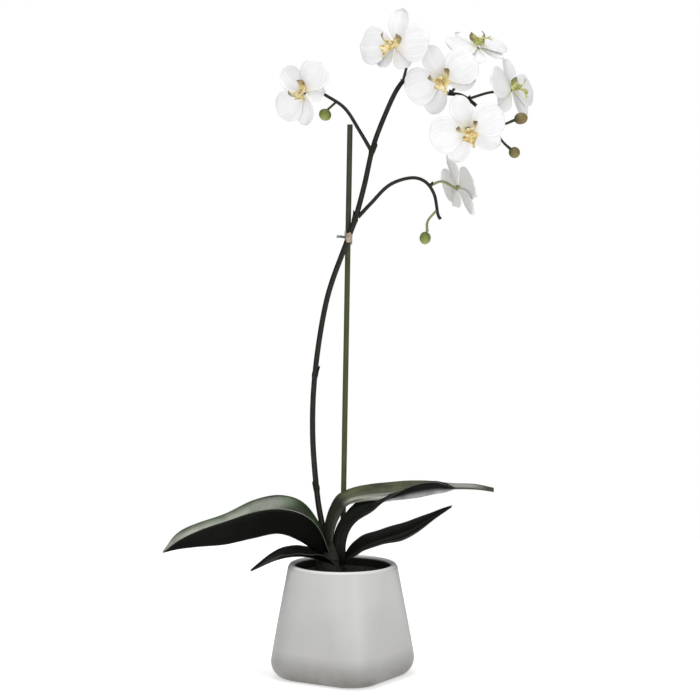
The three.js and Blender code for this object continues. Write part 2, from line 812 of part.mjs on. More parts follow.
function makeFlower(name, flower) {
  const group = new THREE.Group();
  group.position.fromArray(flower.at);
  group.rotation.copy(flowerTurn(flower));
  let lip = lipSolid(flower.size);
  const taken = [];
  for (const part of ["petal_left", "petal_right", "sepal_top", "sepal_left", "sepal_right"]) {
    const shape = { ...TEPALS[part], ...(flower.changes ? flower.changes[part] : null) };
    const columns = part.startsWith("petal") ? PETAL_COLUMNS : SEPAL_COLUMNS;
    let solid = tepalSolid(shape, flower.size, 0, columns);
    for (const other of taken) solid = solid.subtract(other);
    const clearance = tepalSolid(shape, flower.size, GAP, columns);
    taken.push(clearance);
    lip = lip.subtract(clearance);
    group.add(meshOf(name + "_" + part, largest(solid), TEPAL_COLOUR, 0.5));
  }
  group.add(meshOf(name + "_lip", largest(lip), LIP_COLOUR, 0.45));
  return group;
}

function makePlant() {
  const plant = new THREE.Group();
  plant.name = "potted_orchid";
  plant.add(meshOf("pot", makePot(), POT_COLOUR, 0.35));
  plant.add(meshOf("potting_mix", makeMix([crownSolid(GAP), stakeSolid(GAP)]), MIX_COLOUR, 0.95));
  plant.add(meshOf("stake", stakeSolid(0), STAKE_COLOUR, 0.6));

  const spikeClearance = stemSolid(SPIKE, SPIKE_RINGS, GAP);
  let crown = crownSolid(0).subtract(spikeClearance).subtract(stakeSolid(GAP));
  const leafClearances = [];
  for (const [name, sections] of Object.entries(LEAVES)) {
    let leaf = leafSolid(sections, 0).subtract(spikeClearance).subtract(stakeSolid(GAP));
    for (const clearance of leafClearances) leaf = leaf.subtract(clearance);
    const clearance = leafSolid(sections, CUT_GAP);
    leafClearances.push(clearance);
    crown = crown.subtract(clearance);
    plant.add(meshOf(name, largest(leaf), LEAF_COLOUR, 0.35));
  }
  plant.add(meshOf("crown", largest(crown), CROWN_COLOUR, 0.6));
  const spike = withStalks("flower_spike", stemSolid(SPIKE, SPIKE_RINGS, 0));
  plant.add(meshOf("flower_spike", spike, STEM_COLOUR, 0.5));
  for (const name of Object.keys(SIDE_STEMS)) {
    plant.add(meshOf(name, makeSideStem(name, spikeClearance), STEM_COLOUR, 0.5));
  }
  plant.add(meshOf("tie", makeTie(spikeClearance), TIE_COLOUR, 0.8));
  for (const [name, bud] of Object.entries(BUDS)) {
    plant.add(meshOf(name, makeBud(bud), BUD_COLOURS[name], 0.5));
  }
  for (const [name, flower] of Object.entries(FLOWERS)) plant.add(makeFlower(name, flower));
  return plant;
}

export default makePlant();
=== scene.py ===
import math
from functools import partial

import bpy
import numpy as np
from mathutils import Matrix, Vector


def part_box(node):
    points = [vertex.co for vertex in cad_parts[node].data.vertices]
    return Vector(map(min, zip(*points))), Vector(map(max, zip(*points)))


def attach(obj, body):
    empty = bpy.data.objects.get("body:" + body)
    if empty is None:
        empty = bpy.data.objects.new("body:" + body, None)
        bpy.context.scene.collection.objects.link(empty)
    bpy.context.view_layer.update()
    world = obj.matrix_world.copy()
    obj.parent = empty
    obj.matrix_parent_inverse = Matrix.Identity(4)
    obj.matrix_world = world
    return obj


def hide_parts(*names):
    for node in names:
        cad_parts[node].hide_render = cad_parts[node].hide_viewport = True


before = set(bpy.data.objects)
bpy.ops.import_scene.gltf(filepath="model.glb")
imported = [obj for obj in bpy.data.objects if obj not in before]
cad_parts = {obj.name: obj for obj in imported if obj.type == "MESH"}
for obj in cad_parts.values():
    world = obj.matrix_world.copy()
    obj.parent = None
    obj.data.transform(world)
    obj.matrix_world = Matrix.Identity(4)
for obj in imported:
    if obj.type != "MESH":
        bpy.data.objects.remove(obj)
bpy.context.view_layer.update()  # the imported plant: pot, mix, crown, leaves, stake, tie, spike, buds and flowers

mm = 0.001
fullTurn = 2 * math.pi
potLow, potHigh = (np.array(corner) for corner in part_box("pot"))
foot = np.array([(potLow[0] + potHigh[0]) / 2, (potLow[1] + potHigh[1]) / 2, potLow[2]])  # middle of the base
print("frame loaded,", len(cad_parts), "nodes")


# shapes: every new piece is made in mm from the foot, as an array of points with rows along the piece and
# columns round or across it

def smoothCurve(points, places):
    # Catmull-Rom: between two points a cubic whose end slopes are half the step between their neighbours;
    # places runs from 0 at the first point to 1 at the last
    p = np.asarray(points, float)
    p = np.vstack([2 * p[0] - p[1], p, 2 * p[-1] - p[-2]])
    t = np.clip(places, 0, 1) * (len(p) - 3)
    k = np.minimum(t.astype(int), len(p) - 4)
    f = (t - k)[:, None]
    a, b, c, d = p[k], p[k + 1], p[k + 2], p[k + 3]
    return 0.5 * (2 * b + (c - a) * f + (2 * a - 5 * b + 4 * c - d) * f ** 2
                  + (3 * b - a - 3 * c + d) * f ** 3)


def unit(vectors):
    return vectors / np.maximum(np.linalg.norm(vectors, axis=-1, keepdims=True), 1e-12)


def circleAngles(count):
    return np.linspace(0, fullTurn, count, endpoint=False)


def gridSteps(rows, columns):
    # 0 to 1 along the rows, -1 to 1 across the columns
    return np.linspace(0, 1, rows)[:, None], np.linspace(-1, 1, columns)[None]


def gridNormals(grid):
    # cross product of the step across and the step along
    return unit(np.cross(np.gradient(grid, axis=1), np.gradient(grid, axis=0)))


def wave(seed, x, y, scale):
    # smooth bumps between about -1 and 1: a few crossed sine waves with seeded directions and starts
    rng = np.random.default_rng(seed)
    total = np.zeros(np.broadcast(x, y).shape)
    for k in range(5):
        angle, start = rng.uniform(0, fullTurn, 2)
        size = scale * rng.uniform(0.7, 1.6)
        total = total + np.sin((x * math.cos(angle) + y * math.sin(angle)) * size + start)
    return total / 3


def tubeGrid(path, radii, sides):
    # circle of the given radius round each point of the path: its side vector is the one of three fixed
    # directions furthest from the whole path's directions, made square to the path
    path = np.asarray(path, float)
    along = unit(np.gradient(path, axis=0))
    fixed = np.array([[0.0, -1.0, 0.0], [0.0, 0.0, 1.0], [1.0, 0.0, 0.0]])
    start = fixed[np.argmin(np.abs(along @ fixed.T).max(axis=0) + np.array([0, 0.01, 0.02]))]
    side = unit(start - along * (along @ start)[:, None])
    other = np.cross(along, side)
    angle = circleAngles(sides)[None, :, None]
    ring = np.cos(angle) * side[:, None] + np.sin(angle) * other[:, None]
    return path[:, None] + ring * np.asarray(radii, float)[:, None, None]


def ringFaces(rows, columns):
    # quads from each closed row of points to the next
    i, j = np.meshgrid(np.arange(rows - 1), np.arange(columns), indexing="ij")
    a = (i * columns + j).ravel()
    b = (i * columns + (j + 1) % columns).ravel()
    return np.stack([a, b, b + columns, a + columns], 1)


def tubeShell(grid):
    # closed tube, each end closed with a fan to its middle; a point's place is its distance along in cm, then
    # cosine and sine round the tube, so that no pattern shows a seam
    rows, columns = grid.shape[:2]
    points = np.concatenate([grid.reshape(-1, 3), grid[0].mean(0)[None], grid[-1].mean(0)[None]])
    k = np.arange(columns)
    following = (k + 1) % columns
    first = rows * columns
    low = np.stack([following, k, np.full(columns, first)], 1)
    high = np.stack([k + first - columns, following + first - columns, np.full(columns, first + 1)], 1)
    steps = np.linalg.norm(np.diff(grid.mean(axis=1), axis=0), axis=1)
    distance = np.concatenate([[0], np.cumsum(steps)]) / 10
    angle = np.tile(circleAngles(columns), rows)
    places = np.stack([np.repeat(distance, columns), np.cos(angle), np.sin(angle)], 1)
    return (points, [ringFaces(rows, columns), low, high],
            np.vstack([places, [[0, 0, 0], [distance[-1], 0, 0]]]))


def sheetShell(middle, thickness):
    # thin closed sheet: the over side across, the under side back, and the edge between them; a point's place
    # is its share along, -1 to 1 across, then 1 on the over side and 0 on the under side
    offset = gridNormals(middle) * (np.asarray(thickness)[..., None] / 2)
    grid = np.concatenate([middle + offset, (middle - offset)[:, ::-1]], axis=1)
    rows, columns = grid.shape[:2]
    half = columns // 2
    k = np.arange(half - 1)
    low = np.stack([k + 1, k, columns - 1 - k, columns - 2 - k], 1)
    high = np.stack([k, k + 1, columns - 2 - k, columns - 1 - k], 1) + (rows - 1) * columns
    v = np.linspace(-1, 1, half)
    places = np.stack([np.repeat(np.linspace(0, 1, rows), columns),
                       np.tile(np.concatenate([v, v[::-1]]), rows),
                       np.tile(np.repeat([1.0, 0.0], half), rows)], 1)
    return grid.reshape(-1, 3), [ringFaces(rows, columns), low, high], places


def shellVolume(points, groups):
    # sum over the faces' triangles of a . (b x c) / 6; it is negative when the faces point inwards
    fans = [points[[g[:, 0], g[:, k], g[:, k + 1]]] for g in groups for k in range(1, g.shape[1] - 1)]
    return sum((a * np.cross(b, c)).sum() / 6 for a, b, c in fans)


def makePiece(name, node, shells, materials, kinds=None):
    # joins closed shells into one mesh; kinds holds the number of each shell's material
    faces, numbers = [], []
    count = 0
    for kind, (points, groups, _) in zip(kinds or [0] * len(shells), shells):
        inward = shellVolume(points, groups) < 0
        for group in groups:
            faces.extend(((group[:, ::-1] if inward else group) + count).tolist())
            numbers.extend([kind] * len(group))
        count += len(points)
    mesh = bpy.data.meshes.new(name)
    points = np.concatenate([shell[0] for shell in shells]) * mm + foot
    mesh.from_pydata(points.tolist(), [], faces)
    places = np.concatenate([shell[2] for shell in shells]).astype(np.float32)
    mesh.attributes.new("place", "FLOAT_VECTOR", "POINT").data.foreach_set("vector", places.ravel())
    for material in materials:
        mesh.materials.append(material)
    mesh.polygons.foreach_set("material_index", numbers)
    mesh.polygons.foreach_set("use_smooth", [True] * len(mesh.polygons))
    mesh.update()
    mesh.validate()
    piece = bpy.data.objects.new(name, mesh)
    bpy.context.scene.collection.objects.link(piece)
    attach(piece, "root")
    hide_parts(node)
    return piece


def settle(shells, nodes):
    # the same shells, moved so that their box sits on the box of the CAD nodes they stand for
    boxes = (np.array([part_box(node) for node in nodes]) - foot) / mm
    flat = np.concatenate([shell[0] for shell in shells])
    shift = (boxes[:, 0].min(0) + boxes[:, 1].max(0) - flat.min(0) - flat.max(0)) / 2
    return [(points + shift, faces, places) for points, faces, places in shells]


# materials

# settings that many nodes share
times, mixed, eased = {"operation": "MULTIPLY"}, {"data_type": "RGBA"}, {"interpolation_type": "SMOOTHSTEP"}


def linear(hexColour):
    # sRGB hex to linear RGBA
    parts = [int(hexColour[i:i + 2], 16) / 255 for i in (1, 3, 5)]
    return [c / 12.92 if c <= 0.04045 else ((c + 0.055) / 1.055) ** 2.4 for c in parts] + [1.0]


def addNode(tree, kind, settings=None, stops=None, span=(), onto=(), **links):
    # one shader node: settings are its own properties, stops the (place, hex) colours of a ramp, span and
    # onto the ends a map range goes from and to, and links its sockets, each a number, a hex colour, or the
    # node or socket that feeds it
    links.update(zip(("From_Min", "From_Max"), span))
    links.update(zip(("To_Min", "To_Max"), onto))
    made = tree.nodes.new("ShaderNode" + kind)
    for key, value in (settings or {}).items():
        setattr(made, key, value)
    if stops:
        elements = made.color_ramp.elements
        while len(elements) < len(stops):
            elements.new(0.5)
        for element, (place, colour) in zip(elements, stops):
            element.position = place
            element.color = linear(colour)
    for key, value in links.items():
        spoken = key.replace("_", " ")
        socket = next(s for s in made.inputs if s.identifier == key or s.name == spoken and s.enabled)
        if isinstance(value, bpy.types.Node):
            value = next(output for output in value.outputs if output.enabled)
        if isinstance(value, bpy.types.NodeSocket):
            tree.links.new(value, socket)
        elif isinstance(value, str):
            socket.default_value = linear(value)
        else:
            socket.default_value = value
    return made


def newSkin(name):
    # empty material, the call that adds its nodes, and the two coordinates the patterns use
    material = bpy.data.materials.new(name)
    material.use_nodes = True
    material.node_tree.nodes.clear()
    add = partial(addNode, material.node_tree)
    solid = add("TexCoord").outputs["Object"]
    place = add("Attribute", {"attribute_name": "place"}).outputs["Vector"]
    return material, add, solid, place


def finishSkin(material, add, index=1.45, **look):
    # one principled surface, into the material's output; index is its index of refraction
    add("OutputMaterial", Surface=add("BsdfPrincipled", IOR=index, **look))
    return material


# the top of the painted shade low down and the top of the dust and painted shade at the foot are heights, and the
# two depths below the rim over which the lip whitens, with thinner glaze and a painted highlight, are depths, all
# in metres; rimTurn is how far up the outside and over the rim, in cm, the painted shade inside the mouth starts
# colours: low is painted shade low down, dust is dust and painted shade at the foot, edge is painted shade where
# the glaze turns from view, lip is the lip's thinner glaze and painted highlight, and inside is painted shade in
# the mouth
potLook = {
    "pale": "#cdcdcc", "mid": "#bdbdbb", "low": "#8f8d89", "dustAndShade": "#453d34", "edge": "#767673",
    "lip": "#efefed", "inside": "#262523", "lowShadeTop": 0.12, "dustAndShadeTop": 0.034, "lipHighlightDepth": (0.0028, 0.0006),
    "rimTurn": 12.85,
}


def glazedStoneware():
    # stoneware, slip cast and satin glazed: grey-white with faint clouds, a soft gloss and a dustier foot; painted
    # shade darkens it low down, at the foot, at its edges and inside the mouth, and a painted highlight whitens
    # the lip
    look = potLook
    material, add, solid, place = newSkin("glazedStoneware")
    height = add("SeparateXYZ", Vector=solid).outputs["Z"]
    cloud = add("TexNoise", Vector=solid, Scale=11, Detail=4)  # clouds, about 90 mm
    # glaze runs, 17 mm apart
    runs = add("TexNoise", Vector=add("Mapping", Vector=solid, Scale=(60, 60, 4)), Scale=1, Detail=3)
    runs = add("Math", times, Value=runs, Value_001=0.3)
    # painted shade: darker towards the bottom
    paintedLowShade = add("MapRange", Value=height, span=(look["lowShadeTop"], 0), onto=(0, 0.6))
    # dust and painted shade: the foot darkened towards the floor, in patches
    dustAndShade = add("MapRange", Value=height, span=(look["dustAndShadeTop"], 0))
    patch = add("TexNoise", Vector=solid, Scale=40, Detail=4)  # patches of the dust and painted shade, 25 mm
    patch = add("MapRange", Value=patch, span=(0.3, 0.7), onto=(0.7, 1))
    dustAndShade = add("Math", times, Value=dustAndShade, Value_001=patch)
    # painted shade: the glaze is painted darker where it turns away from view
    paintedEdgeShade = add("LayerWeight", Blend=0.3).outputs["Facing"]
    paintedEdgeShade = add("MapRange", Value=paintedEdgeShade, span=(0.45, 0.95), onto=(0, 0.9))
    # it is whiter on the lip, from thinner glaze and a painted highlight, and painted dark inside the mouth as
    # shade
    lipHeights = [pot["height"] * mm - depth for depth in look["lipHighlightDepth"]]
    thinGlazeAndHighlight = add("MapRange", Value=height, span=lipHeights, onto=(0, 0.8))
    # painted shade down the inner wall, inside the mouth
    passed = add("SeparateXYZ", Vector=place).outputs["X"]
    paintedInnerShade = add("MapRange", Value=passed, span=(look["rimTurn"], look["rimTurn"] + 0.2))
    base = add("ValToRGB", stops=[(0.35, look["mid"]), (0.65, look["pale"])], Fac=cloud)
    for share, colour in ((runs, "mid"), (paintedLowShade, "low"), (dustAndShade, "dustAndShade"), (paintedEdgeShade, "edge"), (thinGlazeAndHighlight, "lip"),
                          (paintedInnerShade, "inside")):
        base = add("Mix", mixed, Factor_Float=share, A_Color=base, B_Color=look[colour])
    rough = add("MapRange", Value=cloud, onto=(0.42, 0.52))
    ripple = add("TexNoise", Vector=solid, Scale=70, Detail=3)  # ripple, 15 mm
    ripple = add("Bump", Height=ripple, Strength=0.1, Distance=0.002)
    pits = add("TexNoise", Vector=solid, Scale=900, Detail=2)  # pinholes, 1 mm
    pits = add("Bump", Height=pits, Strength=0.05, Distance=0.0004, Normal=ripple)
    return finishSkin(material, add, index=1.5, Base_Color=base, Roughness=rough, Normal=pits,
                      Coat_Weight=0.35, Coat_Roughness=0.3)


mixLook = {"dark": "#11100e", "brown": "#27231f", "pale": "#4a4339"}


def barkChips():
    # composted bark and fibre, broken: very dark brown and matt, with some paler patches
    material, add, solid, _ = newSkin("barkChips")
    tone = add("TexNoise", Vector=solid, Scale=130, Detail=4)  # a tone to a chip, 8 mm
    base = add("ValToRGB", Fac=tone, stops=list(zip((0.3, 0.6, 0.85), mixLook.values())))
    grain = add("TexNoise", Vector=solid, Scale=900, Detail=4)  # fibres, about 1 mm
    grain = add("Bump", Height=grain, Strength=0.6, Distance=0.0008)
    return finishSkin(material, add, Base_Color=base, Normal=grain, Roughness=0.85)


# across the leaf: where the pale rim, a painted highlight, starts, how strong a painted whitish sheen on the far
# half is, and one along the midrib; along it, tip is how withered its end is, and root where the dark base ends
# and is full
leafPlain = {"coat": 0.0, "rimFrom": -0.9, "farSheen": 0.0, "keelSheen": 0.0, "tip": 0.0, "root": (0.3, 0.05)}
# painted shade: the under sides are painted near black
shadedUnderTones = ["#060705", "#0b0c0a", "#131411"]
witherTones = {"edge": "#3e4036", "middle": "#b4b5af"}
# the upper sides are one skin painted lighter or darker by how light falls on each leaf: olive paler and greyer,
# with a wide painted highlight, dark as painted shade; under and underPale are under sides painted near black as
# shade, underPale with a painted sheen along the keel
leafLook = {
    "green": {"tones": ["#161c11", "#2f4224", "#4b6238"], "roughness": (0.28, 0.42), "coat": 0.2,
              "specular": 0.35, "rim": "#b9bcb0", "rimFrom": -0.75, "farSheen": 0.75},
    "olive": {"tones": ["#191b13", "#454a32", "#5f6448"], "roughness": (0.28, 0.42), "coat": 0.1,
              "specular": 0.25, "rim": "#e0e2d8", "rimFrom": 0.0, "tip": 0.75, "root": (0.4, 0.31)},
    "dark": {"tones": ["#0a0b08", "#10130d", "#1c2017"], "roughness": (0.34, 0.46), "coat": 0.05,
             "specular": 0.15, "rim": "#50534c", "farSheen": 0.1},
    "under": {"tones": shadedUnderTones, "roughness": (0.5, 0.65), "specular": 0.06, "rim": "#24271f"},
    "underPale": {"tones": shadedUnderTones, "roughness": (0.45, 0.6), "specular": 0.1, "rim": "#c6c6c8",
                  "rimFrom": -0.98, "keelSheen": 0.8},
}


def leafSkin(name, look):
    # waxy leaf skin: parallel veins along the leaf, mottled tone, darker at its base, a soft gloss, and a painted
    # highlight that runs pale along the rolled edge, with painted sheen on the far half and along the keel
    material, add, solid, place = newSkin(name)
    parts = add("SeparateXYZ", Vector=place)
    along, side = parts.outputs["X"], parts.outputs["Y"]
    across = add("Math", {"operation": "ABSOLUTE"}, Value=side)
    # veins, 1.5 mm apart
    fibre = add("TexNoise", Vector=add("Mapping", Vector=place, Scale=(4, 24, 1)), Scale=1, Detail=4)
    mottle = add("TexNoise", Vector=solid, Scale=42, Detail=4)  # mottling, 25 mm
    tone = add("Mix", Factor_Float=0.55, A_Float=fibre, B_Float=mottle)
    # the painted sheen: a band on the far half and one along the keel, cloudy, and only on the outer part
    farSheen = add("MapRange", eased, Value=side, span=(1.05, 0.72), onto=(0, look["farSheen"]))
    upper = add("MapRange", eased, Value=side, span=(0.2, 0.6))
    farSheen = add("Math", times, Value=farSheen, Value_001=upper)
    keelSheen = add("MapRange", eased, Value=across, span=(0.6, 0.16), onto=(0, look["keelSheen"]))
    paintedSheen = add("Math", {"operation": "MAXIMUM"}, Value=farSheen, Value_001=keelSheen)
    outer = add("MapRange", eased, Value=along, span=(0.3, 0.46))
    cloudy = add("MapRange", Value=mottle, span=(0.25, 0.65), onto=(0.25, 1))
    # a withered end: pale along its middle, dark at its edges and at the very tip
    tip = add("MapRange", Value=along, span=(0.74, 0.8), onto=(0, look["tip"]))
    inner = add("MapRange", Value=across, span=(0.85, 0.45), onto=(0, 0.9))
    short = add("MapRange", Value=along, span=(0.97, 0.9))
    for one, other in ((outer, tip), (cloudy, short)):
        paintedSheen = add("Math", times, Value=paintedSheen, Value_001=one)
        inner = add("Math", times, Value=inner, Value_001=other)
    # painted highlight along the near edge
    edge = add("MapRange", Value=side, span=(look["rimFrom"], -0.99))
    highlightBreak = add("TexNoise", Vector=place, Scale=3, Detail=3)  # breaks in the painted highlight, 60 mm
    highlightBreak = add("MapRange", Value=highlightBreak, span=(0.35, 0.65))
    edge = add("Math", times, Value=edge, Value_001=highlightBreak)
    edge = add("Math", {"operation": "SUBTRACT", "use_clamp": True}, Value=edge, Value_001=tip)
    rooted = add("MapRange", Value=along, span=look["root"], onto=(0, 0.92))
    base = add("ValToRGB", Fac=tone, stops=list(zip((0.32, 0.5, 0.7), look["tones"])))
    for share, colour in ((paintedSheen, look["rim"]), (tip, witherTones["edge"]), (inner, witherTones["middle"]),
                          (edge, look["rim"]), (rooted, look["tones"][0])):
        base = add("Mix", mixed, Factor_Float=share, A_Color=base, B_Color=colour)
    rough = add("MapRange", Value=mottle, onto=look["roughness"])
    groove = add("MapRange", Value=across, span=(0, 0.05))  # fold at the midrib
    groove = add("Bump", Height=groove, Strength=0.3, Distance=0.001)
    fine = add("Bump", Height=fibre, Strength=0.16, Distance=0.0006, Normal=groove)
    return finishSkin(material, add, Base_Color=base, Roughness=rough, Normal=fine, Coat_Weight=look["coat"],
                      Specular_IOR_Level=look["specular"], Coat_Roughness=0.2)


# tones and roughness
stemLook = {
    "spikeSkin": (["#11130e", "#1b1e16", "#2c3024"], 0.4),
    "paleStalkSkin": (["#5f6243", "#85885e", "#aaab80"], 0.45),
    "dryScaleSkin": (["#0f110c", "#191c13", "#2b3020"], 0.7),
    "darkStalkSkin": (["#22241a", "#3a3b2b", "#57573f"], 0.45),
    "crownSkin": (["#0f110c", "#191c13", "#2b3020"], 0.5),
    "coatedWireSkin": (["#3f4445", "#565c5d", "#757b7c"], 0.4),
}


def stemSkin(name, tones, roughness):
    # smooth green stem skin, grown: fine lengthwise streaks and a few darker spots
    material, add, solid, place = newSkin(name)
    # streaks, about 1 mm
    streak = add("TexNoise", Vector=add("Mapping", Vector=place, Scale=(0.7, 4, 4)), Scale=1, Detail=3)
    spot = add("TexNoise", Vector=solid, Scale=240, Detail=3)  # spots, about 4 mm
    tone = add("Mix", Factor_Float=0.45, A_Float=streak, B_Float=spot)
    base = add("ValToRGB", Fac=tone, stops=list(zip((0.32, 0.5, 0.7), tones)))
    fine = add("Bump", Height=streak, Strength=0.15, Distance=0.0004)
    return finishSkin(material, add, Base_Color=base, Normal=fine, Roughness=roughness,
                      Specular_IOR_Level=0.25)


stakeLook = {
    "low": "#454f2b", "high": "#3f3e31", "dark": "#20231a", "worn": "#5d6142", "fade": (0.438, 0.518),
}


def stainedCane():
    # split cane, stained green: olive below the tie and weathered grey above, with fibres 0.5 mm apart
    look = stakeLook
    material, add, solid, place = newSkin("stainedCane")
    height = add("SeparateXYZ", Vector=solid).outputs["Z"]
    faded = add("MapRange", Value=height, span=look["fade"])
    fibre = add("TexNoise", Vector=add("Mapping", Vector=place, Scale=(0.5, 7, 7)), Scale=1, Detail=5)
    lines = add("MapRange", Value=fibre, span=(0.45, 0.7), onto=(0, 0.6))
    worn = add("TexNoise", Vector=solid, Scale=70, Detail=3)  # stain blotches, 15 mm
    worn = add("MapRange", Value=worn, span=(0.5, 0.8), onto=(0, 0.5))
    base = look["low"]
    for share, colour in ((faded, "high"), (lines, "dark"), (worn, "worn")):
        base = add("Mix", mixed, Factor_Float=share, A_Color=base, B_Color=look[colour])
    fine = add("Bump", Height=fibre, Strength=0.35, Distance=0.0004)
    return finishSkin(material, add, Base_Color=base, Normal=fine, Roughness=0.55, Specular_IOR_Level=0.25)


def raffiaStrip():
    # raffia, split and dried: pale pinkish beige and matt, with fibres along the strip
    material, add, _, place = newSkin("raffiaStrip")
    # fibres, about 0.5 mm
    fibre = add("TexNoise", Vector=add("Mapping", Vector=place, Scale=(1.2, 5, 5)), Scale=1, Detail=4)
    base = add("ValToRGB", Fac=fibre, stops=[(0.35, "#857566"), (0.6, "#b9a999")])
    fine = add("Bump", Height=fibre, Strength=0.4, Distance=0.0005)
    return finishSkin(material, add, Base_Color=base, Normal=fine, Roughness=0.8)


budLook = {"green_bud": ["#4d5a27", "#78853e", "#9aa35c"], "brown_bud": ["#4c4527", "#75673a", "#8c7b4c"]}


def budSkin(name, tones):
    # closed bud, waxy: darker at the stalk and paler at the tip, with fine veins between
    material, add, _, place = newSkin(name)
    along = add("SeparateXYZ", Vector=place).outputs["X"]
    # veins, about 1 mm
    vein = add("TexNoise", Vector=add("Mapping", Vector=place, Scale=(1.5, 6, 6)), Scale=1, Detail=4)
    base = add("ValToRGB", Fac=along, stops=list(zip((0.0, 0.5, 1.0), tones)))
    dark = add("MapRange", Value=vein, span=(0.45, 0.75), onto=(0, 0.6))
    base = add("Mix", mixed, Factor_Float=dark, A_Color=base, B_Color=tones[0])
    fine = add("Bump", Height=vein, Strength=0.25, Distance=0.0005)
    return finishSkin(material, add, Base_Color=base, Normal=fine, Roughness=0.45, Subsurface_Weight=0.1,
                      Subsurface_Scale=0.002)


# back is painted shade: the under side of each tepal is painted greyer
tepalLook = {"white": "#f2f2f3", "shade": "#e5e5e7", "back": "#dededb", "throat": "#e2dfcb"}


def tepalSkin():
    # orchid petal: cool white satin that light shines through, with veins that fan from the base and its under
    # side painted greyer as shade
    look = tepalLook
    material, add, solid, place = newSkin("orchidPetal")
    parts = add("SeparateXYZ", Vector=place)
    # veins, 1.5 mm apart
    vein = add("TexNoise", Vector=add("Mapping", Vector=place, Scale=(1.4, 13, 1)), Scale=1, Detail=4)
    cloud = add("TexNoise", Vector=solid, Scale=55, Detail=3)  # uneven tone, 18 mm
    tone = add("Mix", Factor_Float=0.4, A_Float=vein, B_Float=cloud)
    base = add("ValToRGB", Fac=tone, stops=[(0.36, look["shade"]), (0.56, look["white"])])
    # painted shade: the under side greyer
    back = add("MapRange", Value=parts.outputs["Z"], span=(0.6, 0.4), onto=(0, 0.9))
    throat = add("MapRange", Value=parts.outputs["X"], span=(0.2, 0), onto=(0, 0.7))
    for share, colour in ((back, "back"), (throat, "throat")):
        base = add("Mix", mixed, Factor_Float=share, A_Color=base, B_Color=look[colour])
    fine = add("Bump", Height=vein, Strength=0.12, Distance=0.0004)
    return finishSkin(material, add, index=1.4, Base_Color=base, Normal=fine, Roughness=0.5,
                      Subsurface_Weight=0.3, Subsurface_Scale=0.0015, Subsurface_Radius=(1.0, 0.95, 0.9),
                      Sheen_Weight=0.06, Sheen_Roughness=0.5)


lipLook = {"goldLip": ["#b08a3c", "#d9c584", "#ece5c6"], "greenLip": ["#8d8c3e", "#bfbf72", "#e2e2b8"]}
lipMark = "#3c2a18"


def lipSkin(name, tones):
    # orchid lip, fleshy and waxy: yellow with red-brown specks and brown wing tips
    material, add, solid, place = newSkin(name)
    tone = add("TexNoise", Vector=solid, Scale=190, Detail=3)  # uneven tone, 5 mm
    base = add("ValToRGB", Fac=tone, stops=list(zip((0.3, 0.48, 0.68), tones)))
    speck = add("TexNoise", Vector=solid, Scale=420, Detail=2)  # specks, about 2 mm
    speck = add("MapRange", Value=speck, span=(0.58, 0.66), onto=(0, 0.7))
    # the third value of a wing's place is 2 or more
    parts = add("SeparateXYZ", Vector=place)
    wing = add("Math", {"operation": "GREATER_THAN"}, Value=parts.outputs["Z"], Value_001=1.5)
    reach = add("MapRange", Value=parts.outputs["X"], span=(0.5, 0.95), onto=(0, 0.75))
    brown = add("Math", times, Value=wing, Value_001=reach)
    for share in (speck, brown):
        base = add("Mix", mixed, Factor_Float=share, A_Color=base, B_Color=lipMark)
    fine = add("Bump", Height=tone, Strength=0.2, Distance=0.0005)
    return finishSkin(material, add, Base_Color=base, Normal=fine, Roughness=0.4, Subsurface_Weight=0.15,
                      Subsurface_Scale=0.0015)


# pot

pot = {
    "rimRadius": 60, "halfSide": 67, "cornerShare": 0.5, "taper": 1.32, "wall": 7.5, "floor": 9, "turn": -32,
    "footEdge": 20, "footInset": 15, "insideEdge": 16, "insideInset": 12, "sides": 144, "lipRings": 14,
    "outerRings": (16, 40), "innerRings": (10, 24), "height": (potHigh[2] - potLow[2]) / mm,
}


def potRing(halfSide, share, z):
    # rounded square: quarter circles of share x half side joined by straights, points evenly spread in angle;
    # the distance out along each direction comes from rounding the larger of |x| and |y|
    count = pot["sides"]
    angle = circleAngles(count) + math.pi / count
    corner = halfSide * share
    straight = halfSide - corner
    c, s = np.abs(np.cos(angle)), np.abs(np.sin(angle))
    flat = halfSide / np.maximum(c, s)
    b = straight * (c + s)
    root = np.sqrt(np.maximum(b * b - (2 * straight ** 2 - corner ** 2), 0))
    distance = np.where(flat * np.minimum(c, s) <= straight, flat, b + root)
    return np.stack([distance * np.cos(angle), distance * np.sin(angle), np.full(count, z)], 1)


def potSection(z):
    # half side and corner share at a height: the wall narrows with a power of the height above the foot
    s = np.clip((z - pot["footEdge"]) / (pot["height"] - pot["footEdge"]), 0, 1)
    halfSide = pot["halfSide"] - (pot["halfSide"] - pot["rimRadius"]) * s ** pot["taper"]
    return halfSide, pot["cornerShare"] + (1 - pot["cornerShare"]) * s


def potWall(offset, floor, top, edge, inset, counts):
    # flat floor, quarter-round edge, then the wall; counts is how many rings edge and wall have
    halfSide, share = potSection(floor)
    rings = [potRing((halfSide - offset - inset) * out, share, floor) for out in (0.25, 0.5, 0.75, 0.95)]
    for z in edge * (1 - np.cos(np.linspace(0, math.pi / 2, counts[0]))):
        halfSide, share = potSection(floor + z)
        drawnIn = inset * (1 - math.sqrt(max(0, 1 - (1 - z / edge) ** 2)))
        rings.append(potRing(halfSide - offset - drawnIn, share, floor + z))
    for z in np.linspace(floor + edge, top, counts[1])[1:]:
        halfSide, share = potSection(z)
        rings.append(potRing(halfSide - offset, share, z))
    return rings


def turned(rings):
    a = math.radians(pot["turn"])
    turn = np.array([[math.cos(a), -math.sin(a), 0], [math.sin(a), math.cos(a), 0], [0, 0, 1]])
    return np.array(rings) @ turn.T


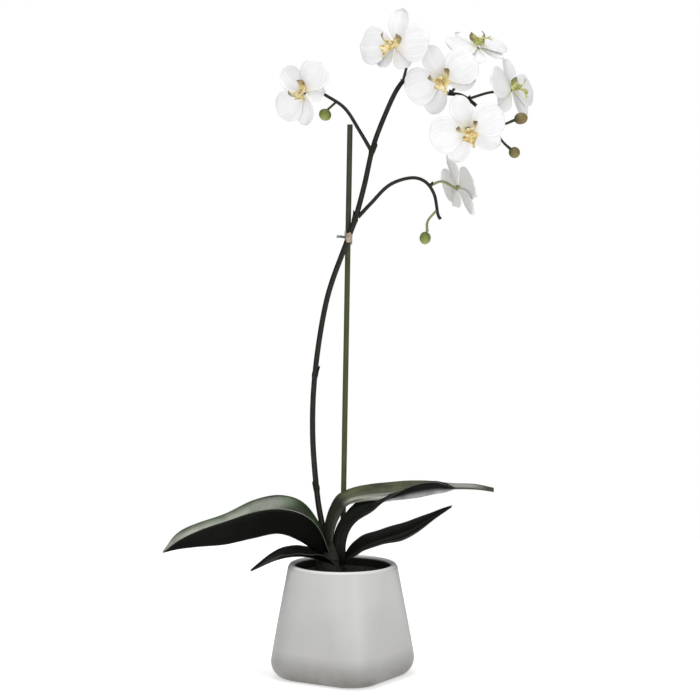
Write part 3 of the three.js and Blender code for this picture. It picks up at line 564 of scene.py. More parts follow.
def buildPot(material):
    # outer wall up, half-round lip over, inner wall down
    lip = pot["wall"] / 2
    top = pot["height"] - lip
    rings = potWall(0, 0, top, pot["footEdge"], pot["footInset"], pot["outerRings"])
    halfSide = potSection(top)[0]
    for a in np.linspace(0, math.pi, pot["lipRings"])[1:-1]:
        rings.append(potRing(halfSide - lip + lip * math.cos(a), 1.0, top + lip * math.sin(a)))
    rings += potWall(pot["wall"], pot["floor"], top, pot["insideEdge"], pot["insideInset"],
                     pot["innerRings"])[::-1]
    makePiece("pot_body", "pot", [tubeShell(turned(rings))], [material])


# potting mix

mix = {
    "gap": 0.35, "inset": 12.4, "shoulder": 3.4, "dome": 3, "sunk": 0.9, "bumps": 0.52, "rings": (6, 14),
    "chips": 620, "seed": 11, "reach": 45, "chip": (3.4, 2.1, 1.1), "rough": 0.16, "tilt": 0.35,
    "chipSunk": 1.2,
}


def buildMix(material):
    # domed disc with a wavy top, closed below, and a few hundred broken chips lying on it
    top = (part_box("potting_mix")[1][2] - foot[2]) / mm
    offset = pot["wall"] + mix["gap"]
    rings = potWall(offset, pot["floor"] + mix["gap"], top - mix["shoulder"], pot["insideEdge"], mix["inset"],
                    mix["rings"])
    halfSide, share = potSection(top - mix["shoulder"])
    for r in np.linspace(0.99, 0.02, 30):
        ring = potRing((halfSide - offset) * r, share, top - mix["sunk"] - mix["dome"] * r * r)
        ring[:, 2] += mix["bumps"] * wave(5, ring[:, 0], ring[:, 1], 0.35)
        rings.append(ring)
    rng = np.random.default_rng(mix["seed"])
    n = mix["chips"]
    radius = mix["reach"] * np.sqrt(rng.uniform(0.0, 1.0, n))
    angle = rng.uniform(0, fullTurn, n)
    height = top - mix["chipSunk"] - mix["dome"] * (radius / 52) ** 2
    centre = np.stack([radius * np.cos(angle), radius * np.sin(angle), height], 1)
    # a chip is a seven-sided stretched ball, each point moved in or out, its ends cut off, tilted and spun
    u, v = np.meshgrid(np.linspace(0, math.pi, 5), circleAngles(7), indexing="ij")
    ball = np.stack([np.sin(u) * np.cos(v), np.sin(u) * np.sin(v), np.cos(u)], -1)
    size = np.array(mix["chip"])[None] * rng.uniform(0.6, 1.3, (n, 3))
    spin, tilt = rng.uniform(0, fullTurn, n), rng.uniform(-mix["tilt"], mix["tilt"], n)
    rough = 1 + mix["rough"] * rng.standard_normal((n, *u.shape))
    x, y, z = np.moveaxis((ball * size[:, None, None] * rough[..., None])[:, 1:-1], -1, 0)
    c, s, tilt = np.cos(spin)[:, None, None], np.sin(spin)[:, None, None], tilt[:, None, None]
    chips = np.stack([x * c - y * s, x * s + y * c, z + x * tilt], -1) + centre[:, None, None]
    shells = [tubeShell(turned(rings))] + [tubeShell(chip) for chip in chips]
    makePiece("mix_surface", "potting_mix", shells, [material])


# leaves: the points of midrib, far edge and near edge in each cross-section, base to tip

leafForm = {
    "rows": 110, "columns": 41, "rounding": 0.3, "middle": 2.0, "edge": 0.7, "wave": 0.9, "roll": 1.6,
    "rollFrom": 0.72,
    "fullWidths": {"arch": 40, "ripple": 35, "roll": 30},  # in a narrower leaf each of these grows less
}
leaves = {
    "leaf_left_large": {"sag": 3.0, "skin": "green", "underSkin": "under", "points": [
        (-10, -2, 118, -9, 9, 134, -10, -10, 128), (-29, -3, 128, -22, 11, 163, -24, -14, 164),
        (-50, -5, 139, -42, 18, 190, -42, -22, 184), (-72, -6, 147, -68, 22, 199, -68, -28, 191),
        (-100, -10, 142, -98, 20, 194, -98, -31, 188), (-130, -13, 138, -130, 15, 180, -130, -32, 178),
        (-160, -15, 139, -160, 10, 170, -158, -30, 168), (-182, -17, 140, -183, 1, 160, -181, -25, 156),
        (-197, -18, 141, -198, -15, 143, -198, -21, 142)]},
    "leaf_left_small": {"sag": 1.5, "skin": "dark", "underSkin": "under", "points": [
        (-11, -6, 120, -9, 2, 127, -8, -11, 126), (-25, -8, 128, -24, 2, 141, -22, -18, 138),
        (-44, -11, 133, -43, 1, 146, -43, -24, 141), (-60, -16, 133, -59, -4, 147, -60, -29, 141),
        (-74, -22, 131, -74, -12, 143, -74, -33, 138), (-88, -27, 127, -88, -20, 134, -88, -34, 131),
        (-101, -30, 122, -101, -28, 124, -101, -32, 123)]},
    "leaf_right_long": {"sag": 1.0, "skin": "olive", "underSkin": "under", "points": [
        (-17, 3, 126, -24, 5, 133, -10, 0, 131), (-17, 3, 150, -23, 5, 155, -11, 0, 151),
        (-14, 2, 168, -20, 5, 171, -8, -1, 167), (-9, 1, 183, -15, 6, 187, -2, -4, 181),
        (-1, 0, 194, -6, 8, 201, 4, -10, 191), (12, 0, 200, 10, 16, 208, 14, -15, 196),
        (32, 0, 203, 30, 18, 212, 32, -18, 199), (54, 0, 205, 53, 18, 214, 54, -18, 200),
        (76, 2, 207, 75, 16, 216, 76, -14, 203), (98, 5, 209, 97, 14, 216, 98, -6, 207),
        (121, 6, 210, 121, 12, 213, 121, 0, 208), (146, 7, 209, 146, 11, 212, 146, 3, 207),
        (167, 7, 206, 167, 10, 208, 167, 4, 204)]},
    "leaf_right_middle": {"sag": 1.0, "skin": "dark", "underSkin": "underPale", "points": [
        (-3, -8, 124, -9, -4, 131, 4, -10, 128), (-4, -9, 148, -11, -4, 152, 3, -12, 148),
        (0, -11, 164, -7, -4, 169, 7, -14, 164), (10, -14, 178, 3, -5, 184, 16, -19, 177),
        (25, -18, 190, 18, -6, 198, 32, -27, 189), (43, -22, 197, 44, -7, 204, 44, -36, 202),
        (63, -22, 198, 64, -8, 209, 61, -36, 212), (81, -22, 198, 82, -10, 216, 80, -34, 220),
        (101, -20, 202, 99, -12, 220, 99, -30, 222), (114, -18, 206, 113, -14, 218, 112, -24, 218),
        (122, -16, 211, 124, -14, 213, 123, -18, 213)]},
    "leaf_right_low": {"sag": 1.0, "skin": "dark", "underSkin": "under", "points": [
        (-2, -8, 127, 1, -1, 136, 0, -13, 130), (13, -9, 137, 10, 5, 149, 11, -19, 138),
        (24, -11, 145, 21, 8, 157, 23, -23, 145), (43, -12, 153, 41, 8, 164, 42, -26, 153),
        (63, -14, 160, 63, 6, 171, 63, -28, 157), (82, -15, 169, 84, 0, 179, 80, -26, 166),
        (103, -18, 183, 104, -10, 188, 102, -24, 181), (119, -20, 193, 120, -18, 194, 119, -21, 192)]},
}


def leafMiddle(form, seed):
    # smooth curves through midrib and edges, joined across by a V whose fold is rounded with
    # (t + sqrt(t2 + r2)) / 2; each half arches a little, ripples at its edge and rolls down at the very edge
    rows = np.linspace(0, 1, leafForm["rows"])[:, None]
    v = np.linspace(-1, 1, leafForm["columns"])
    midrib, far, near = np.split(smoothCurve(form["points"], rows[:, 0]), 3, axis=1)
    toFar, toNear, full = ((t + np.sqrt(t * t + leafForm["rounding"] ** 2)) / 2 for t in (v, -v, np.ones(1)))
    grid = (midrib[:, None] + (far - midrib)[:, None] * (toFar / full)[None, :, None]
            + (near - midrib)[:, None] * (toNear / full)[None, :, None])
    normal = gridNormals(grid)
    width = np.linalg.norm(far - near, axis=1)
    arched, rippled, rolled = (np.minimum(1, width / most)[:, None]
                               for most in leafForm["fullWidths"].values())
    arch = form["sag"] * 4 * np.abs(v) * (1 - np.abs(v)) * arched
    ripple = leafForm["wave"] * wave(seed, rows * 22, v[None] * 1.2, 1.0) * v ** 2 * rippled
    outer = np.clip((np.abs(v) - leafForm["rollFrom"]) / (1 - leafForm["rollFrom"]), 0, 1)
    roll = leafForm["roll"] * outer ** 2 * rolled
    turnedOver = normal[..., 2].mean() < 0
    grid = grid + (-normal if turnedOver else normal) * (arch + ripple - roll)[..., None]
    return (grid[:, ::-1] if turnedOver else grid), turnedOver


def buildLeaf(name, form, seed, upper, under):
    middle, turnedOver = leafMiddle(form, seed)
    v = np.linspace(-1, 1, leafForm["columns"])
    thick = leafForm["edge"] + (leafForm["middle"] - leafForm["edge"]) * (1 - v ** 2) ** 0.8
    taper = np.minimum(1, (1 - np.linspace(0, 1, leafForm["rows"])) * 6 + 0.35)
    points, groups, places = sheetShell(middle, taper[:, None] * thick[None])
    places[:, 1] *= -1 if turnedOver else 1  # -1 is always the near edge
    shells = settle([(points, groups, places)], [name])
    piece = makePiece(name + "_blade", name, shells, [upper, under])
    # faces whose corners lie mostly on the under side take the under skin; every face here has four corners
    corners = np.empty(len(piece.data.loops), dtype=np.int32)
    piece.data.loops.foreach_get("vertex_index", corners)
    isUnder = places[corners, 2].reshape(-1, 4).mean(axis=1) < 0.5
    piece.data.polygons.foreach_set("material_index", isUnder.astype(np.int32))


# stake, spike, tie

stake = {
    "foot": (-2, 19, 40), "top": (8, 1, 611.5), "radius": 3.0, "rough": 0.07, "rows": 120, "sides": 36,
    "worn": 0.35,
}


def buildStake(material):
    # straight round cane: a circle along a line, its radius a little uneven, its end square with worn edges
    share = np.concatenate([np.linspace(0, 0.998, stake["rows"]), [0.9993, 1.0]])
    path = smoothCurve([stake["foot"], stake["top"]], share)[:, None]
    radii = np.full(len(share), stake["radius"])
    radii[-1] -= stake["worn"]
    grid = tubeGrid(path[:, 0], radii, stake["sides"])
    angle = circleAngles(stake["sides"])
    rough = stake["rough"] * wave(3, np.cos(angle)[None] * 6,
                                  np.sin(angle)[None] * 6 + share[:, None] * 30, 1.0)
    grid = path + (grid - path) * (1 + rough / stake["radius"])[..., None]
    makePiece("stake_cane", "stake", settle([tubeShell(grid)], ["stake"]), [material])


# centre line with the stem's radius at each point; joints are the heights of its joints, each with a swelling
# and a scale
stems = {
    "flower_spike": {"rows": 460, "sides": 22, "joints": [208, 336, 507, 582], "line": [
        (-17, 10, 139, 3.4), (-21, 13, 160, 3.4), (-28, 16, 200, 3.2), (-33, 12, 270, 3.1), (-30, 8, 340, 3),
        (-17, 2, 420, 3), (4, -3, 481, 3), (14, -3, 508, 3), (24, -3, 545, 2.9), (33, -3, 585, 2.8),
        (45, -3, 618, 2.7), (60, 0, 650, 2.6), (74, 4, 664, 2.4), (92, 6, 664, 2.3), (110, 5, 647, 2.2),
        (130, 4, 643, 2.1), (146, 3, 632, 2), (160, 0, 615, 1.8)]},
    "left_branch": {"rows": 120, "sides": 18, "joints": [], "line": [
        (32, -3, 583, 2.2), (19, -6, 605, 2), (3, -10, 629, 1.9), (-21, -16, 645, 1.7)]},
    "right_branch": {"rows": 120, "sides": 18, "joints": [], "line": [
        (15, -3, 510, 2.2), (29, -5, 525, 2.1), (49, -7, 545, 2), (72, -9, 553, 1.9), (88, -10, 549, 1.9),
        (98, -10, 535, 1.8), (102, -10, 514, 1.7), (105, -10, 508, 1.9)]},
}
# a scale's two numbers are its length and the radius it stands at
stalks = {
    "bud": 1.3, "flower": 1.45, "seat": 3.2, "bend": 6, "jointScale": (11, 3.0), "stalkScale": (3.6, 1.6),
}
# at is the middle of the bud; its stalk leaves the stem at from and passes by
buds = {
    "bud_left": {"at": (-19, -15, 622), "radius": (7, 6.4, 6.4), "slot": "green_bud",
                 "stem": "left_branch", "from": (-5, -11, 636), "by": (-14, -14, 628)},
    "bud_low": {"at": (90, -13, 488), "radius": (6.2, 6.2, 7), "slot": "green_bud",
                "stem": "right_branch", "from": (101, -10, 518), "by": (91, -12, 506), "paleStalk": True},
    "bud_right_upper": {"at": (194, -8, 618), "radius": (6.5, 6.5, 7.5), "slot": "brown_bud",
                        "stem": "flower_spike", "from": (155, 0, 619), "by": (174, -4, 612)},
    "bud_right_lower": {"at": (187, -9, 581), "radius": (6.2, 6.2, 6.2), "slot": "brown_bud",
                        "stem": "flower_spike", "from": (159, 0, 616), "by": (174, -4, 594)},
}
# yaw turns a flower's face to the right, pitch lifts it, roll leans its top to the right; changes holds what
# is different in one tepal
flowers = {
    "flower_1": {"at": (-42, -27, 646), "yaw": -28, "pitch": 4, "roll": -48, "size": 0.88, "lip": "goldLip",
                 "stem": "left_branch", "from": (-21, -16, 645), "by": (-29, -20, 646),
                 "changes": {"sepal_top": {"length": 40, "width": 31}, "sepal_right": {"length": 25}}},
    "flower_2": {"at": (56, -22, 697), "yaw": -34, "pitch": 10, "roll": 4, "size": 1.02, "lip": "goldLip",
                 "stem": "flower_spike", "from": (66, 2, 657), "by": (72, 4, 688),
                 "changes": {"petal_left": {"angle": -94}, "sepal_left": {"length": 27},
                             "sepal_right": {"length": 27}}},
    "flower_3": {"at": (108, -28, 660), "yaw": -10, "pitch": -4, "roll": -25, "size": 0.98, "lip": "goldLip",
                 "stem": "flower_spike", "from": (86, 6, 665), "by": (102, 0, 664),
                 "changes": {"sepal_right": {"angle": 116, "length": 34}}},
    "flower_4": {"at": (148, 12, 696), "yaw": 32, "pitch": 58, "roll": -8, "size": 0.9, "lip": "greenLip",
                 "stem": "flower_spike", "from": (118, 5, 645), "by": (137, 28, 668),
                 "changes": {"sepal_right": {"length": 31}}},
    "flower_5": {"at": (185, 4, 650), "yaw": 52, "pitch": 16, "roll": 10, "size": 0.88, "lip": "greenLip",
                 "stem": "flower_spike", "from": (137, 3, 639), "by": (160, 10, 646)},
    "flower_6": {"at": (135, -36, 606), "yaw": 2, "pitch": -10, "roll": -20, "size": 0.97, "lip": "goldLip",
                 "stem": "flower_spike", "from": (147, 3, 631), "by": (144, 0, 616)},
    "flower_7": {"at": (127, 6, 543), "yaw": 114, "pitch": 14, "roll": 4, "size": 0.9, "lip": "goldLip",
                 "stem": "right_branch", "from": (94, -10, 545), "by": (107, -6, 549), "paleStalk": True,
                 "changes": {"sepal_right": {"length": 27}, "sepal_left": {"length": 43}}},
}


def stemShell(points, rows, sides, joints=()):
    # circle along a smooth curve, its radius read between the points and swollen round each joint
    data = np.array(points, float)
    share = np.linspace(0, 1, rows)
    path = smoothCurve(data[:, :3], share)
    radii = np.interp(share, np.linspace(0, 1, len(data)), data[:, 3])
    for z in joints:
        distance = path[:, 2] - z
        radii = radii * (1 + 0.2 * np.exp(-(distance / 2.4) ** 2)
                         - 0.12 * np.exp(-((distance - 3.2) / 0.9) ** 2))
    return tubeShell(tubeGrid(path, radii, sides))


def scaleShell(centre, along, form, start):
    # small dry scale hugging the stem: part of a cone round it, narrowing to a point that stands off a little
    length, radius = form
    u, v = gridSteps(12, 13)
    side = unit(np.cross(along, [0.3, 0.9, 0.1]))
    angle = start + v * 1.9 * (1 - u ** 1.6)
    reach = radius + 0.5 + 1.5 * u ** 2
    grid = (centre + along * (length * u)[..., None] + side * (reach * np.cos(angle))[..., None]
            + np.cross(along, side) * (reach * np.sin(angle))[..., None])
    return sheetShell(grid, 0.5)


def flowerTurn(flower):
    # yaw about Z after pitch about X after roll about Y
    a, b, c = (math.radians(flower[key]) for key in ("yaw", "pitch", "roll"))
    yaw = np.array([[math.cos(a), -math.sin(a), 0], [math.sin(a), math.cos(a), 0], [0, 0, 1]])
    pitch = np.array([[1, 0, 0], [0, math.cos(b), math.sin(b)], [0, -math.sin(b), math.cos(b)]])
    roll = np.array([[math.cos(c), 0, math.sin(c)], [0, 1, 0], [-math.sin(c), 0, math.cos(c)]])
    return yaw @ pitch @ roll


def budStalk(bud):
    at, by = np.array(bud["at"], float), np.array(bud["by"], float)
    end = at - unit(at - by) * (bud["radius"][2] - 0.6)
    r = stalks["bud"]
    return stemShell([(*bud["from"], r), (*bud["by"], r), (*end, r * 1.25)], 30, 12)


def flowerStalk(flower):
    # it meets the flower square from behind, over a bend, and widens to the seat of the tepals
    bend, seat = (np.array(flower["at"]) + flowerTurn(flower) @ np.array([0, behind, 0])
                  for behind in (stalks["bend"], 2.1))
    r = stalks["flower"]
    points = [(*flower["from"], r * 1.1), (*flower["by"], r), (*bend, r * 1.15), (*seat, stalks["seat"])]
    return stemShell(points, 48, 14)


def buildStem(node, stem, skins):
    # a stem with its joints and scales, then a stalk to each bud and each flower that it carries;
    # the skins are those of the stem, a pale stalk, a dry scale and a dark stalk
    shells, kinds = [stemShell(stem["line"], stem["rows"], stem["sides"], stem["joints"])], [0]
    fine = smoothCurve(np.array(stem["line"])[:, :3], np.linspace(0, 1, 800))
    for index, z in enumerate(stem["joints"]):
        k = int(np.argmin(np.abs(fine[:500, 2] - z)))
        shells.append(scaleShell(fine[k], unit(fine[k + 2] - fine[k - 2]), stalks["jointScale"],
                                 1.5 + 2.4 * index))
        kinds.append(2)
    for carried in [*buds.values(), *flowers.values()]:
        if carried["stem"] != node:
            continue
        kinds.append(1 if carried.get("paleStalk") else 3)
        if carried in buds.values():
            shells.append(budStalk(carried))
        else:
            start = np.array(carried["from"], float)
            along = unit(np.array(carried["by"]) - start)
            shells += [flowerStalk(carried), scaleShell(start, along, stalks["stalkScale"], 0.4)]
            kinds.append(2)
    makePiece(node + "_stem", node, settle(shells, [node]), skins, kinds)


tie = {
    "z": 488, "stem": (6, -3), "height": 6.8, "thick": 1.1, "turns": 2.7, "start": -0.6, "layer": 3.6,
    "climb": 4.6, "stub": [(2, -6, 488), (-2, -7, 489), (-7, -7, 489)], "wire": (0.9, 0.6), "twist": 9,
}


def buildTie(strip, wire):
    # strip wound round stake and stem: a flat oval carried along a climbing track, then two twisted ends
    share = (tie["z"] - stake["foot"][2]) / (stake["top"][2] - stake["foot"][2])
    rear = np.array(stake["foot"][:2]) * (1 - share) + np.array(stake["top"][:2]) * share
    angle = np.linspace(tie["start"], tie["start"] + fullTurn * tie["turns"], 260)
    # the track swaps from the stem to the stake and back with the sine of the angle, made squarer by a tanh
    swap = (np.tanh(np.sin(angle) * 2.4) / math.tanh(2.4) + 1)[:, None] / 2
    outward = np.stack([np.cos(angle), np.sin(angle)], 1)
    layer = tie["layer"] + 0.35 * np.sin(angle * 1.7)
    path = np.array(tie["stem"], float) * (1 - swap) + rear * swap + outward * layer[:, None]
    climb = np.linspace(-tie["climb"], tie["climb"], len(angle)) + 0.5 * np.sin(angle * 2.3)
    ring = circleAngles(14)
    flat = np.zeros((len(angle), len(ring), 3))
    flat[..., :2] = path[:, None] + outward[:, None] * (np.cos(ring) * tie["thick"] / 2)[None, :, None]
    flat[..., 2] = tie["z"] + climb[:, None] + (np.sin(ring) * tie["height"] / 2)[None]
    shells = [tubeShell(flat)]
    steps = np.linspace(0, 1, 40)
    line = smoothCurve(tie["stub"], steps)
    for start in (0, math.pi):
        turn = start + tie["twist"] * steps
        swing = 0.6 + 0.4 * steps
        path = line + np.stack([0 * steps, np.cos(turn) * swing, np.sin(turn) * swing], 1)
        shells.append(tubeShell(tubeGrid(path, np.linspace(*tie["wire"], 40), 10)))
    makePiece("tie_strip", "tie", settle(shells, ["tie"]), [strip, wire], [0, 1, 1])


def buildBud(name, bud, skin):
    # egg: height follows a cosine and radius a sine, drawn in near the tip, with three shallow seams round it
    turn = np.linspace(0.12, math.pi - 0.12, 34)[:, None]
    u = (1 - np.cos(turn)) / 2
    angle = circleAngles(36)[None]
    swell = np.sin(turn) * (1 - 0.12 * np.clip(u - 0.6, 0, 1))
    around = np.mod(angle * 3 / fullTurn + 0.3 * u, 1)
    across = swell * (1 - 0.05 * np.exp(-((around - 0.5) / 0.09) ** 2) * np.sin(turn))
    axis = unit(np.array(bud["at"], float) - np.array(bud["by"], float))
    side = unit(np.cross(axis, [0.2, 1.0, 0.3]))
    wide, deep, tall = bud["radius"]
    grid = (axis * (tall * (2 * u - 1))[..., None] + side * (across * wide * np.cos(angle))[..., None]
            + np.cross(axis, side) * (across * deep * np.sin(angle))[..., None])
    points, faces, places = tubeShell(grid)
    places[:, 0] = [*np.repeat(u, angle.size), 0, 1]
    shells = settle([(points, faces, places)], [name])
    makePiece(name + "_skin", name, shells, [skin])


# crown: z, x, y, half width and half depth of each ring

crown = {
    "rings": [(97, -13, 0, 14, 10), (108, -14, 0, 17, 12), (120, -14, 0, 16.5, 11.5), (132, -13, 0, 14.5, 10),
              (143, -11, 0, 10, 8), (150, -9.5, -1, 5, 4.5)],
    "folds": 0.9, "steps": 5,
}


def buildCrown(material):
    # stacked leaf bases: an oval tube through the rings with steps where one base wraps the next
    share = np.linspace(0, 1, 90)[:, None]
    angle = circleAngles(48)[None]
    z, x, y, rx, ry = smoothCurve(crown["rings"], share[:, 0]).T[..., None]
    step = np.mod(share * crown["steps"] + 0.35 * np.cos(angle) ** 2, 1)
    fold = crown["folds"] * (1 - step) ** 2 * np.minimum(1, (1 - share) * 4)
    grid = np.stack([x + (rx + fold) * np.cos(angle), y + (ry + fold) * np.sin(angle), z + 0 * angle], -1)
    makePiece("crown_bases", "crown", [tubeShell(grid)], [material])


# flowers

tepals = {
    "start": 2.6, "thick": 0.55, "rows": 44, "columns": 31, "ruffle": 1.1,
    "sepal": {"length": 38, "width": 25, "widest": 0.56, "base": 0.15, "rise": -0.06, "curl": -0.04,
              "cup": 2.2, "plane": -1.2},
    "petal": {"length": 41, "width": 42, "widest": 0.56, "base": 0.2, "rise": 0.1, "curl": -0.08, "cup": -1.5,
              "plane": 0.5},
    "angles": {"sepal_top": 0, "sepal_left": -136, "sepal_right": 136, "petal_left": -82, "petal_right": 82},
}
lip = {
    "plane": 1.6, "column": 2.7, "columnLength": 9, "length": 15, "width": 16, "drop": 16, "wingLength": 14,
    "wingWidth": 11, "thick": 0.9, "tendril": (0.45, 0.15), "knob": 1.5,
}


def tepalShell(form, size, seed):
    # a leaf-like outline in its own plane: half width follows a sine up to the widest place and an oval
    # beyond it; the sheet lifts with a rise, a curl, a cup across it, a crease down the middle and ruffles
    u, v = gridSteps(tepals["rows"], tepals["columns"])
    t = np.sin(math.pi / 2 * u)
    widest, base = form["widest"], form["base"]
    before = base + (1 - base) * np.sin(math.pi / 2 * np.minimum(1, t / widest)) ** 1.2
    beyond = np.clip((t - widest) / (1 - widest), 0, 1)
    rng = np.random.default_rng(seed)
    lean, start = rng.uniform(-0.05, 0.05), rng.uniform(0, 6.28)
    width = np.where(t < widest, before, np.maximum(0.03, np.sqrt(np.maximum(0, 1 - beyond ** 2.4))))
    width = width * form["width"] * size / 2 * (1 + 0.025 * np.sin(u * 9 + start) * u)
    length = form["length"] * size
    lift = length * (form["rise"] * t + form["curl"] * t * t) + form["cup"] * v * v * np.minimum(1, 2 * t)
    lift = lift + (tepals["ruffle"] * size * wave(seed + 7, t * 5, v * 1.7, 1.0)
                   * (0.25 + 0.75 * v * v) * t ** 1.3)
    lift = lift - 0.9 * np.exp(-(v / 0.12) ** 2) * t * (1 - t * 0.6)
    sine, cosine = math.sin(math.radians(form["angle"])), math.cos(math.radians(form["angle"]))
    outward, sideways, forward = np.array([[sine, 0, cosine], [cosine, 0, -sine], [0, -1, 0]])
    along = tepals["start"] + length * t * (1 - 0.02 * v * v)
    grid = (outward * along[..., None] + sideways * (width * (v + lean * t * (1 - v * v)))[..., None]
            + forward * (form["plane"] + lift)[..., None])
    thick = tepals["thick"] * (0.7 + 0.9 * (1 - t) * (1 - v * v)) + 0.12
    # the over side is the face: the sheet's normal is turned to look forward
    return sheetShell(grid[:, ::-1] if gridNormals(grid)[..., 1].mean() > 0 else grid, thick)


def lipShells(size):
    # column, callus, middle lobe with two tendrils, and a wing each side, in the flower's own frame
    forward = -lip["plane"]
    claw = forward - 0.8
    scale = np.array([size, 1, size])
    s = np.linspace(0, 1, 26)
    path = np.stack([0 * s, forward - lip["columnLength"] * s, 1.5 * np.sin(math.pi * s * 0.9)], 1)
    radii = lip["column"] * (0.86 - 0.16 * np.sin(math.pi * s) + 0.34 * np.exp(-((s - 0.82) / 0.14) ** 2))
    radii = radii * np.sqrt(np.clip((1.02 - s) / 0.1, 0.04, 1))
    shells = [tubeShell(tubeGrid(path, radii, 20) * scale)]
    u, v = gridSteps(26, 19)
    # middle lobe: narrow claw, then an arrowhead, hollowed across, running forward and down
    spread = 0.3 + 0.95 * np.exp(-((u - 0.62) / 0.24) ** 2)
    spread = spread * np.where(u > 0.62, np.sqrt(np.clip((1.03 - u) / 0.41, 0.02, 1)), 1)
    middle = np.stack([lip["width"] / 2 * spread * v, claw - lip["length"] * np.sin(math.pi / 2 * u) + 0 * v,
                       -1.2 - lip["drop"] * u * u + 2.2 * v * v * (0.4 + u)
                       - 0.8 * np.exp(-(v / 0.2) ** 2)], -1)
    shells.append(sheetShell(middle * scale, lip["thick"]))
    wingHalf = lip["wingWidth"] / 2 * (0.42 + 0.6 * np.sin(math.pi * (0.1 + 0.75 * u)))
    bend = 1 - 0.35 * u ** 2 * np.maximum(0, v)
    c = np.linspace(0, 1, 22)
    w = np.linspace(0.03, 0.97, 9)
    for turn in (1, -1):
        # wing: rises beside the column and curls in at the top
        wing = np.stack([turn * (1.2 + lip["wingLength"] * 0.8 * u * bend),
                         forward - 4 - lip["wingLength"] * 0.35 * u - wingHalf * v * 0.8,
                         -1 + lip["wingLength"] * 0.65 * u * u + wingHalf * v * 0.5
                         + 0.5 * np.sin(u * 7) * v], -1)
        points, faces, places = sheetShell(wing * scale, lip["thick"])
        shells.append((points, faces, places + np.array([0, 0, 2])))
        # tendril: thin tube curling from the lobe's tip
        path = np.stack([turn * (0.6 + 2 * c), claw - lip["length"] - 1.1 * np.sin(c * 2.6),
                         -1.2 - lip["drop"] + 2.5 * c ** 2], 1)
        shells.append(tubeShell(tubeGrid(path, np.linspace(*lip["tendril"], len(c)), 8) * scale))
        # callus: two small waxy knobs under the column
        path = np.stack([0 * w + turn * 1.2, forward - 4.6 - 3 * (w - 0.5), -1.6 + 0 * w], 1)
        shells.append(tubeShell(tubeGrid(path, lip["knob"] * np.sqrt(np.sin(math.pi * w)), 12) * scale))
    return shells


def buildFlower(name, flower, petalSkin, lipSkins, seed):
    turn = flowerTurn(flower)
    shells, counts = [], {}
    for index, (part, angle) in enumerate(tepals["angles"].items()):
        form = {**tepals[part.split("_")[0]], "angle": angle, **flower.get("changes", {}).get(part, {})}
        shells.append(tepalShell(form, flower["size"], seed * 10 + index))
        counts[part] = 1
    shells += lipShells(flower["size"])
    counts["lip"] = len(shells) - len(counts)
    shells = [(points @ turn.T + np.array(flower["at"]), faces, places) for points, faces, places in shells]
    shells = settle(shells, [name + "_" + part for part in counts])
    for part, count in counts.items():
        isLip = part == "lip"
        makePiece(name + "_" + part + "_skin", name + "_" + part, shells[:count],
                  [lipSkins[flower["lip"]] if isLip else petalSkin])
        shells = shells[count:]


# camera, floor and light, in metres

camera = {"place": (0.008, -2.8, 0.62), "down": 5.22, "lens": 131.4, "sensor": 36.0}
light = {
    "room": {"back": 0.1, "front": 0.6, "above": 0.3},  # light from all round, by direction
    "lamps": {"key": {"place": (1.15, -2.3, 0.95), "size": (0.6, 1.7), "power": 10},
              "fill": {"place": (-0.7, -2.6, 1.3), "size": (1.2, 1.2), "power": 7},
              "top": {"place": (-0.2, -0.3, 2.7), "size": (1.4, 1.4), "power": 28}},
    "aim": (0.02, 0, 0.4), "floor": (-1.6, 1.6, -2.6, 0.9), "floorGlow": 0.52,
}


def addObject(name, data, place=(0, 0, 0)):
    made = bpy.data.objects.new(name, data)
    made.location = place
    bpy.context.scene.collection.objects.link(made)
    return made


def buildCamera():
    data = bpy.data.cameras.new("camera")
    data.sensor_width = camera["sensor"]
    data.lens = camera["lens"]
    data.clip_end = 50
    view = addObject("camera", data, camera["place"])
    view.rotation_euler = (math.radians(90 - camera["down"]), 0, 0)
    bpy.context.scene.camera = view


def paintedPaper():
    # studio paper, matt white: even, with only a trace of grain
    material, add, solid, _ = newSkin("paintedPaper")
    grain = add("TexNoise", Vector=solid, Scale=300, Detail=2)  # grain, 3 mm
    base = add("ValToRGB", Fac=grain, stops=[(0.3, "#f2f2f2"), (0.7, "#f6f6f6")])
    return finishSkin(material, add, index=1.5, Base_Color=base, Roughness=0.9, Emission_Color="#ffffff",
                      Emission_Strength=light["floorGlow"])


def buildFloor():
    # flat floor that ends behind the plant, where the white room takes over
    left, right, near, far = light["floor"]
    height = foot[2] - 0.0002
    mesh = bpy.data.meshes.new("floor")
    mesh.from_pydata([(left, near, height), (right, near, height), (right, far, height), (left, far, height)],
                     [], [(0, 1, 2, 3)])
    mesh.materials.append(paintedPaper())
    addObject("floor", mesh)


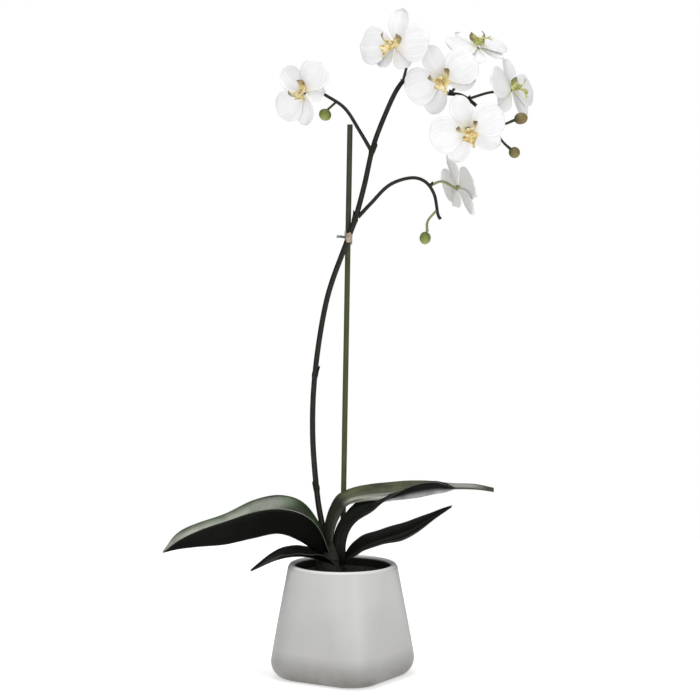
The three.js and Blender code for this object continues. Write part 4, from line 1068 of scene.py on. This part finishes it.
def buildLight():
    for name, form in light["lamps"].items():
        data = bpy.data.lights.new(name, "AREA")
        data.shape = "RECTANGLE"
        data.size, data.size_y = form["size"]
        data.energy = form["power"]
        lamp = addObject(name, data, form["place"])
        aim = Vector(light["aim"]) - lamp.location
        lamp.rotation_euler = aim.to_track_quat("-Z", "Y").to_euler()
    # the room is plain white to the camera, and brighter in front and above to everything else
    room = light["room"]
    world = bpy.data.worlds.new("studio")
    bpy.context.scene.world = world
    world.use_nodes = True
    world.node_tree.nodes.clear()
    add = partial(addNode, world.node_tree)
    way = add("SeparateXYZ", Vector=add("TexCoord").outputs["Generated"])
    front = add("MapRange", Value=way.outputs["Y"], span=(0.15, -0.85), onto=(room["back"], room["front"]))
    above = add("MapRange", Value=way.outputs["Z"], span=(0.1, 0.9), onto=(0, room["above"]))
    lit = add("Math", {"operation": "ADD"}, Value=front, Value_001=above)
    seen = add("LightPath").outputs["Is Camera Ray"]
    strength = add("Mix", Factor_Float=seen, A_Float=lit, B_Float=1.0)
    add("OutputWorld", Surface=add("Background", Color="#ffffff", Strength=strength))
    bpy.context.scene.view_settings.view_transform = "Standard"


buildCamera()
buildFloor()
buildLight()
print("stage set")
buildPot(glazedStoneware())
buildMix(barkChips())
print("pot and mix made")
leafSkins = {kind: leafSkin(kind + "LeafSkin", {**leafPlain, **look}) for kind, look in leafLook.items()}
for index, (name, form) in enumerate(leaves.items()):
    buildLeaf(name, form, 20 + index, leafSkins[form["skin"]], leafSkins[form["underSkin"]])
stemSkins = {name: stemSkin(name, *look) for name, look in stemLook.items()}
buildCrown(stemSkins["crownSkin"])
print("leaves and crown made")
buildStake(stainedCane())
carrierSkins = [stemSkins[name] for name in ("spikeSkin", "paleStalkSkin", "dryScaleSkin", "darkStalkSkin")]
for node, stem in stems.items():
    buildStem(node, stem, carrierSkins)
buildTie(raffiaStrip(), stemSkins["coatedWireSkin"])
budSkins = {slot: budSkin(slot.replace("_bud", "BudSkin"), tones) for slot, tones in budLook.items()}
for name, bud in buds.items():
    buildBud(name, bud, budSkins[bud["slot"]])
print("stake, spike, tie and buds made")
petalSkin = tepalSkin()
lipSkins = {name: lipSkin(name, tones) for name, tones in lipLook.items()}
for index, (name, flower) in enumerate(flowers.items()):
    buildFlower(name, flower, petalSkin, lipSkins, 40 + index)
print("flowers made")
